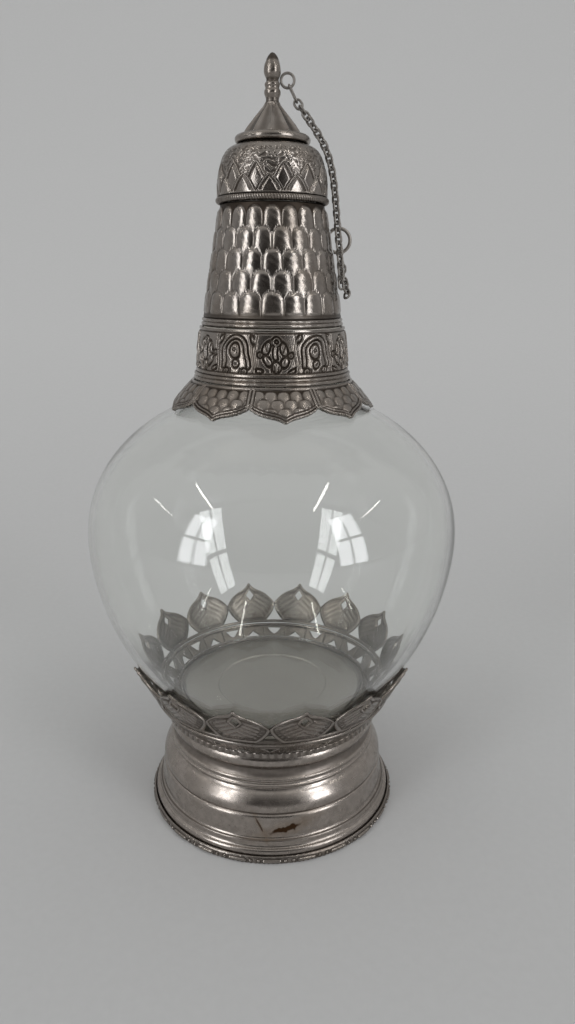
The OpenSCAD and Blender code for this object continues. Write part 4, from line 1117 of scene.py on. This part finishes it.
class SPRINKLER_OT_stage(bpy.types.Operator):
    """Make the camera, the pale sweep, the two windows, the ceiling tubes and the surrounding light"""

    bl_idname = "sprinkler.stage"
    bl_label = "Studio"

    def execute(self, context):
        s = context.scene.sprinkler_studio
        self.camera(context, s)
        self.sweep(context, s)
        self.windows(context, s)
        self.surroundings(context)
        context.scene.view_settings.view_transform = "Standard"
        return {"FINISHED"}

    def camera(self, context, s):
        """A camera in front of the axis that looks down, a little to the right, and is rolled a little."""
        ahead = math.cos(s.pitch)
        look = Vector((math.sin(s.yaw) * ahead, math.cos(s.yaw) * ahead, -math.sin(s.pitch)))
        right = Vector((math.cos(s.yaw), -math.sin(s.yaw), 0))
        up = right.cross(look)
        c, r = math.cos(s.roll), math.sin(s.roll)
        across, over = right * c + up * r, up * c - right * r
        data = bpy.data.cameras.new("camera")
        data.lens, data.sensor_width, data.clip_start = s.lens, 36, 0.01
        obj = bpy.data.objects.new("camera", data)
        turned = Matrix((across, over, -look)).transposed().to_4x4()
        obj.matrix_world = Matrix.Translation((0, -s.distance, s.height)) @ turned
        context.scene.collection.objects.link(obj)
        context.scene.camera = obj

    def sweep(self, context, s):
        """A floor that turns up into a backdrop over a quarter circle, as a strip of quads."""
        a = np.radians(np.linspace(0, 90, 25))
        y = np.concatenate([[-3, -1, 0, 0.1], 0.2 + 1.4 * np.sin(a), [1.6]])
        z = np.concatenate([[0, 0, 0, 0], 1.4 - 1.4 * np.cos(a), [3.0]])
        x = np.array([-3.0, 3.0])
        points = np.stack([np.repeat(x, len(y)), np.tile(y, 2), np.tile(z, 2)], -1)
        j = np.arange(len(y) - 1)
        faces = np.stack([j, j + len(y), j + 1 + len(y), j + 1], -1)
        mesh = bpy.data.meshes.new("sweep")
        mesh.from_pydata(points.tolist(), [], faces.tolist())
        mesh.polygons.foreach_set("use_smooth", np.ones(len(faces), bool))
        made, tree = new_finish("paper")
        where = put(tree, "TexCoord").outputs["Object"]
        depth = put(tree, "SeparateXYZ", {0: where}).outputs[1]
        # Painted light: the paper is darker on the floor near the object and lighter on the backdrop behind, where
        # more light falls.
        paper = blend(tree, scaled(tree, depth, -0.1, 0.8), rgba(s.floor), rgba(s.wall))
        specks = scaled(tree, noise(tree, where, 300, 3), 0.3, 0.7, 0.975, 1.0)
        speckled = put(tree, "Mix", {0: 1.0, 6: paper, 7: specks}, data_type="RGBA", blend_type="MULTIPLY")
        matt = {"Base Color": speckled.outputs[2], "Roughness": 0.75, "Specular IOR Level": 0.2}
        shader = put(tree, "BsdfPrincipled", matt)
        close_finish(tree, shader.outputs[0])
        mesh.materials.append(made)
        obj = bpy.data.objects.new("sweep", mesh)
        context.scene.collection.objects.link(obj)

    def lamp(self, context, name, place, toward, wide, high, radiance, colour):
        """A rectangular lamp whose face has the given radiance."""
        data = bpy.data.lights.new(name, "AREA")
        data.shape, data.size, data.size_y = "RECTANGLE", wide, high
        data.energy = radiance * math.pi * wide * high
        data.color = colour
        obj = bpy.data.objects.new(name, data)
        obj.location = place
        obj.rotation_euler = (Vector(toward) - Vector(place)).to_track_quat("-Z", "Y").to_euler()
        context.scene.collection.objects.link(obj)

    def windows(self, context, s):
        """Two windows of four panes each, left and right in front, and four tubes under the ceiling."""
        reach, daylight, tube_light = 1.6, (0.96, 0.98, 1.0), (1.0, 0.98, 0.94)
        for side, turn in (("left", -46), ("right", 47)):
            for column in (-1, 1):
                for row in (0, 1):
                    a = math.radians(turn + column * 4.6)
                    place = (reach * math.sin(a), -reach * math.cos(a), 0.36 + 0.62 * row)
                    toward = (0, 0, place[2] * 0.6 + 0.05)
                    name = f"{side}_pane_{column}_{row}"
                    self.lamp(context, name, place, toward, 0.22, 0.54, s.window, daylight)
        for x, front, rear in ((-3.35, -1.28, 0.0), (-1.45, -1.4, -0.35), (1.0, -1.6, -0.5), (2.9, -1.5, -0.4)):
            place = (x, 0.5 * (front + rear), 2.05)
            below = (x, place[1] + 0.001, 0)
            self.lamp(context, f"tube_{x}", place, below, 0.05, rear - front, 3 * s.window, tube_light)

    def surroundings(self, context):
        """A room that is pale at the sides and above and dark in front, where the photographer stood. The camera,
        light through glass and matt surfaces see its plain pale colour."""
        world = bpy.data.worlds.new("room")
        world.use_nodes = True
        tree = world.node_tree
        tree.nodes.clear()
        axis = put(tree, "SeparateXYZ", {0: put(tree, "TexCoord").outputs["Generated"]})
        front = scaled(tree, axis.outputs[1], -0.92, 0.1)
        above = scaled(tree, axis.outputs[2], 0.35, 0.95)
        walls = blend(tree, front, (0.045, 0.042, 0.04, 1), (0.44, 0.44, 0.44, 1))
        room = blend(tree, above, walls, (0.60, 0.60, 0.59, 1))
        path = put(tree, "LightPath")
        seen = sums(tree, "ADD", path.outputs["Is Camera Ray"], path.outputs["Is Transmission Ray"])
        seen = sums(tree, "ADD", seen, path.outputs["Is Diffuse Ray"])
        colour = blend(tree, seen, room, (0.45, 0.45, 0.445, 1))
        back = put(tree, "Background", {0: colour, 1: 1.0})
        tree.links.new(back.outputs[0], put(tree, "OutputWorld").inputs[0])
        context.scene.world = world


class SPRINKLER_OT_foot(bpy.types.Operator):
    """Make the spun foot and its worked border"""

    bl_idname = "sprinkler.foot"
    bl_label = "Foot"

    def execute(self, context):
        s = Millimetres(context.scene.sprinkler_foot)
        piece("spun_foot", [spun_foot(s)], finish("spun_metal"), "vessel", ["foot"])
        border = [worked_border(s)]
        piece("worked_border", border, finish("embossed_metal"), "vessel", ["foot_border"])
        return {"FINISHED"}


class SPRINKLER_OT_gallery(bpy.types.Operator):
    """Make the milled collar, the pierced band, the wire and the petals, and dress the seat plate"""

    bl_idname = "sprinkler.gallery"
    bl_label = "Gallery"

    def execute(self, context):
        s = Millimetres(context.scene.sprinkler_foot)
        metal = finish("embossed_metal")
        wire = wire_ring(s.wire_radius, s.petal_base - 0.85, 1.4, 0.12)
        piece("milled_collar", [milled_collar(s)], metal, "vessel", ["gallery_collar"])
        piece("petal_wire", [wire], metal, "vessel", ["gallery_wire"])
        piece("petals", [petals(s), petal_strip(s)], metal, "vessel", ["gallery_petals"])
        piece("pierced_band", pierced_band(s), metal, "vessel", ["gallery_band"])
        dress("seat_plate", "dull_metal")
        return {"FINISHED"}


class SPRINKLER_OT_flask(bpy.types.Operator):
    """Make the blown glass flask"""

    bl_idname = "sprinkler.flask"
    bl_label = "Glass flask"

    def execute(self, context):
        s = Millimetres(context.scene.sprinkler_flask)
        piece("flask", [flask(s)], finish("blown_glass"), "vessel", ["glass_bottle"])
        return {"FINISHED"}


class SPRINKLER_OT_neck(bpy.types.Operator):
    """Make the skirt, frieze, mouldings, scaled sleeve, milled wire and dome, and dress what is inside them"""

    bl_idname = "sprinkler.neck"
    bl_label = "Neck mount"

    def execute(self, context):
        s = Millimetres(context.scene.sprinkler_neck)
        metal = finish("embossed_metal")
        piece("skirt", [skirt(s)], metal, "vessel", ["neck_skirt"])
        low = moulding(s.frieze_low + 0.5, s.frieze_base - 3.35, 3.2, 1.0)
        high = moulding(s.sleeve_low + 0.7, s.sleeve_base - 3.15, 3.0, 2.2)
        piece("low_moulding", [low], metal, "vessel", ["skirt_moulding"])
        piece("frieze", [frieze(s)], metal, "vessel", ["frieze_band"])
        piece("high_moulding", [high], metal, "vessel", ["frieze_moulding"])
        piece("scaled_sleeve", [scaled_sleeve(s)], metal, "vessel", ["scale_sleeve"])
        piece("milled_wire", [milled_wire(s)], metal, "vessel", ["rope_wire"])
        piece("dome", [dome(s)], metal, "vessel", ["shoulder_dome"])
        dress("neck_cement", "plaster")
        dress("mouth_collar", "dull_metal")
        dress("sprinkler_rose", "plain_metal")
        dress("sleeve_ring", "dull_metal")
        return {"FINISHED"}


class SPRINKLER_OT_cap(bpy.types.Operator):
    """Make the cap's rolled rim, fluted cone and finial, and dress its plug, stud and eye"""

    bl_idname = "sprinkler.cap"
    bl_label = "Cap"

    def execute(self, context):
        s = Millimetres(context.scene.sprinkler_cap)
        metal = finish("embossed_metal")
        piece("rolled_rim", [cap_rim(s)], metal, "cap", ["cap_rim"])
        piece("fluted_cone", [fluted_cone(s)], metal, "cap", ["cap_cone"])
        piece("turned_finial", [finial(s)], metal, "cap", ["finial"])
        dress("cap_plug", "cork")
        dress("cap_stud", "dull_metal")
        dress("finial_eye", "chain_metal")
        return {"FINISHED"}


class SPRINKLER_OT_chain(bpy.types.Operator):
    """Dress the chain's links"""

    bl_idname = "sprinkler.chain"
    bl_label = "Chain"

    def execute(self, context):
        for node in ("cap_end_link", "chain_upper_links", "ring_end_link", "chain_lower_links"):
            dress(node, "chain_metal")
        return {"FINISHED"}


class SPRINKLER_PT_pieces(bpy.types.Panel):
    """Lists the pieces and their sizes"""

    bl_idname = "SPRINKLER_PT_pieces"
    bl_label = "Rosewater sprinkler"
    bl_space_type = "VIEW_3D"
    bl_region_type = "UI"
    bl_category = "Sprinkler"

    def draw(self, context):
        for operator in OPERATORS:
            self.layout.operator(operator.bl_idname)
        for name, group in GROUPS.items():
            box = self.layout.box()
            box.label(text=group.__name__)
            for field in group.__annotations__:
                box.prop(getattr(context.scene, name), field)


OPERATORS = (
    SPRINKLER_OT_stage,
    SPRINKLER_OT_foot,
    SPRINKLER_OT_gallery,
    SPRINKLER_OT_flask,
    SPRINKLER_OT_neck,
    SPRINKLER_OT_cap,
    SPRINKLER_OT_chain,
)


def register():
    """Registers the property groups, the operators and the panel."""
    for name, group in GROUPS.items():
        bpy.utils.register_class(group)
        setattr(bpy.types.Scene, name, bpy.props.PointerProperty(type=group))
    for cls in (*OPERATORS, SPRINKLER_PT_pieces):
        bpy.utils.register_class(cls)


def unregister():
    """Takes the panel, the operators and the property groups away again."""
    for cls in (SPRINKLER_PT_pieces, *reversed(OPERATORS)):
        bpy.utils.unregister_class(cls)
    for name, group in reversed(GROUPS.items()):
        delattr(bpy.types.Scene, name)
        bpy.utils.unregister_class(group)


def main():
    """Registers the classes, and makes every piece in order."""
    register()
    for operator in OPERATORS:
        group, name = operator.bl_idname.split(".")
        getattr(getattr(bpy.ops, group), name)()


if __name__ == "__main__":
    main()
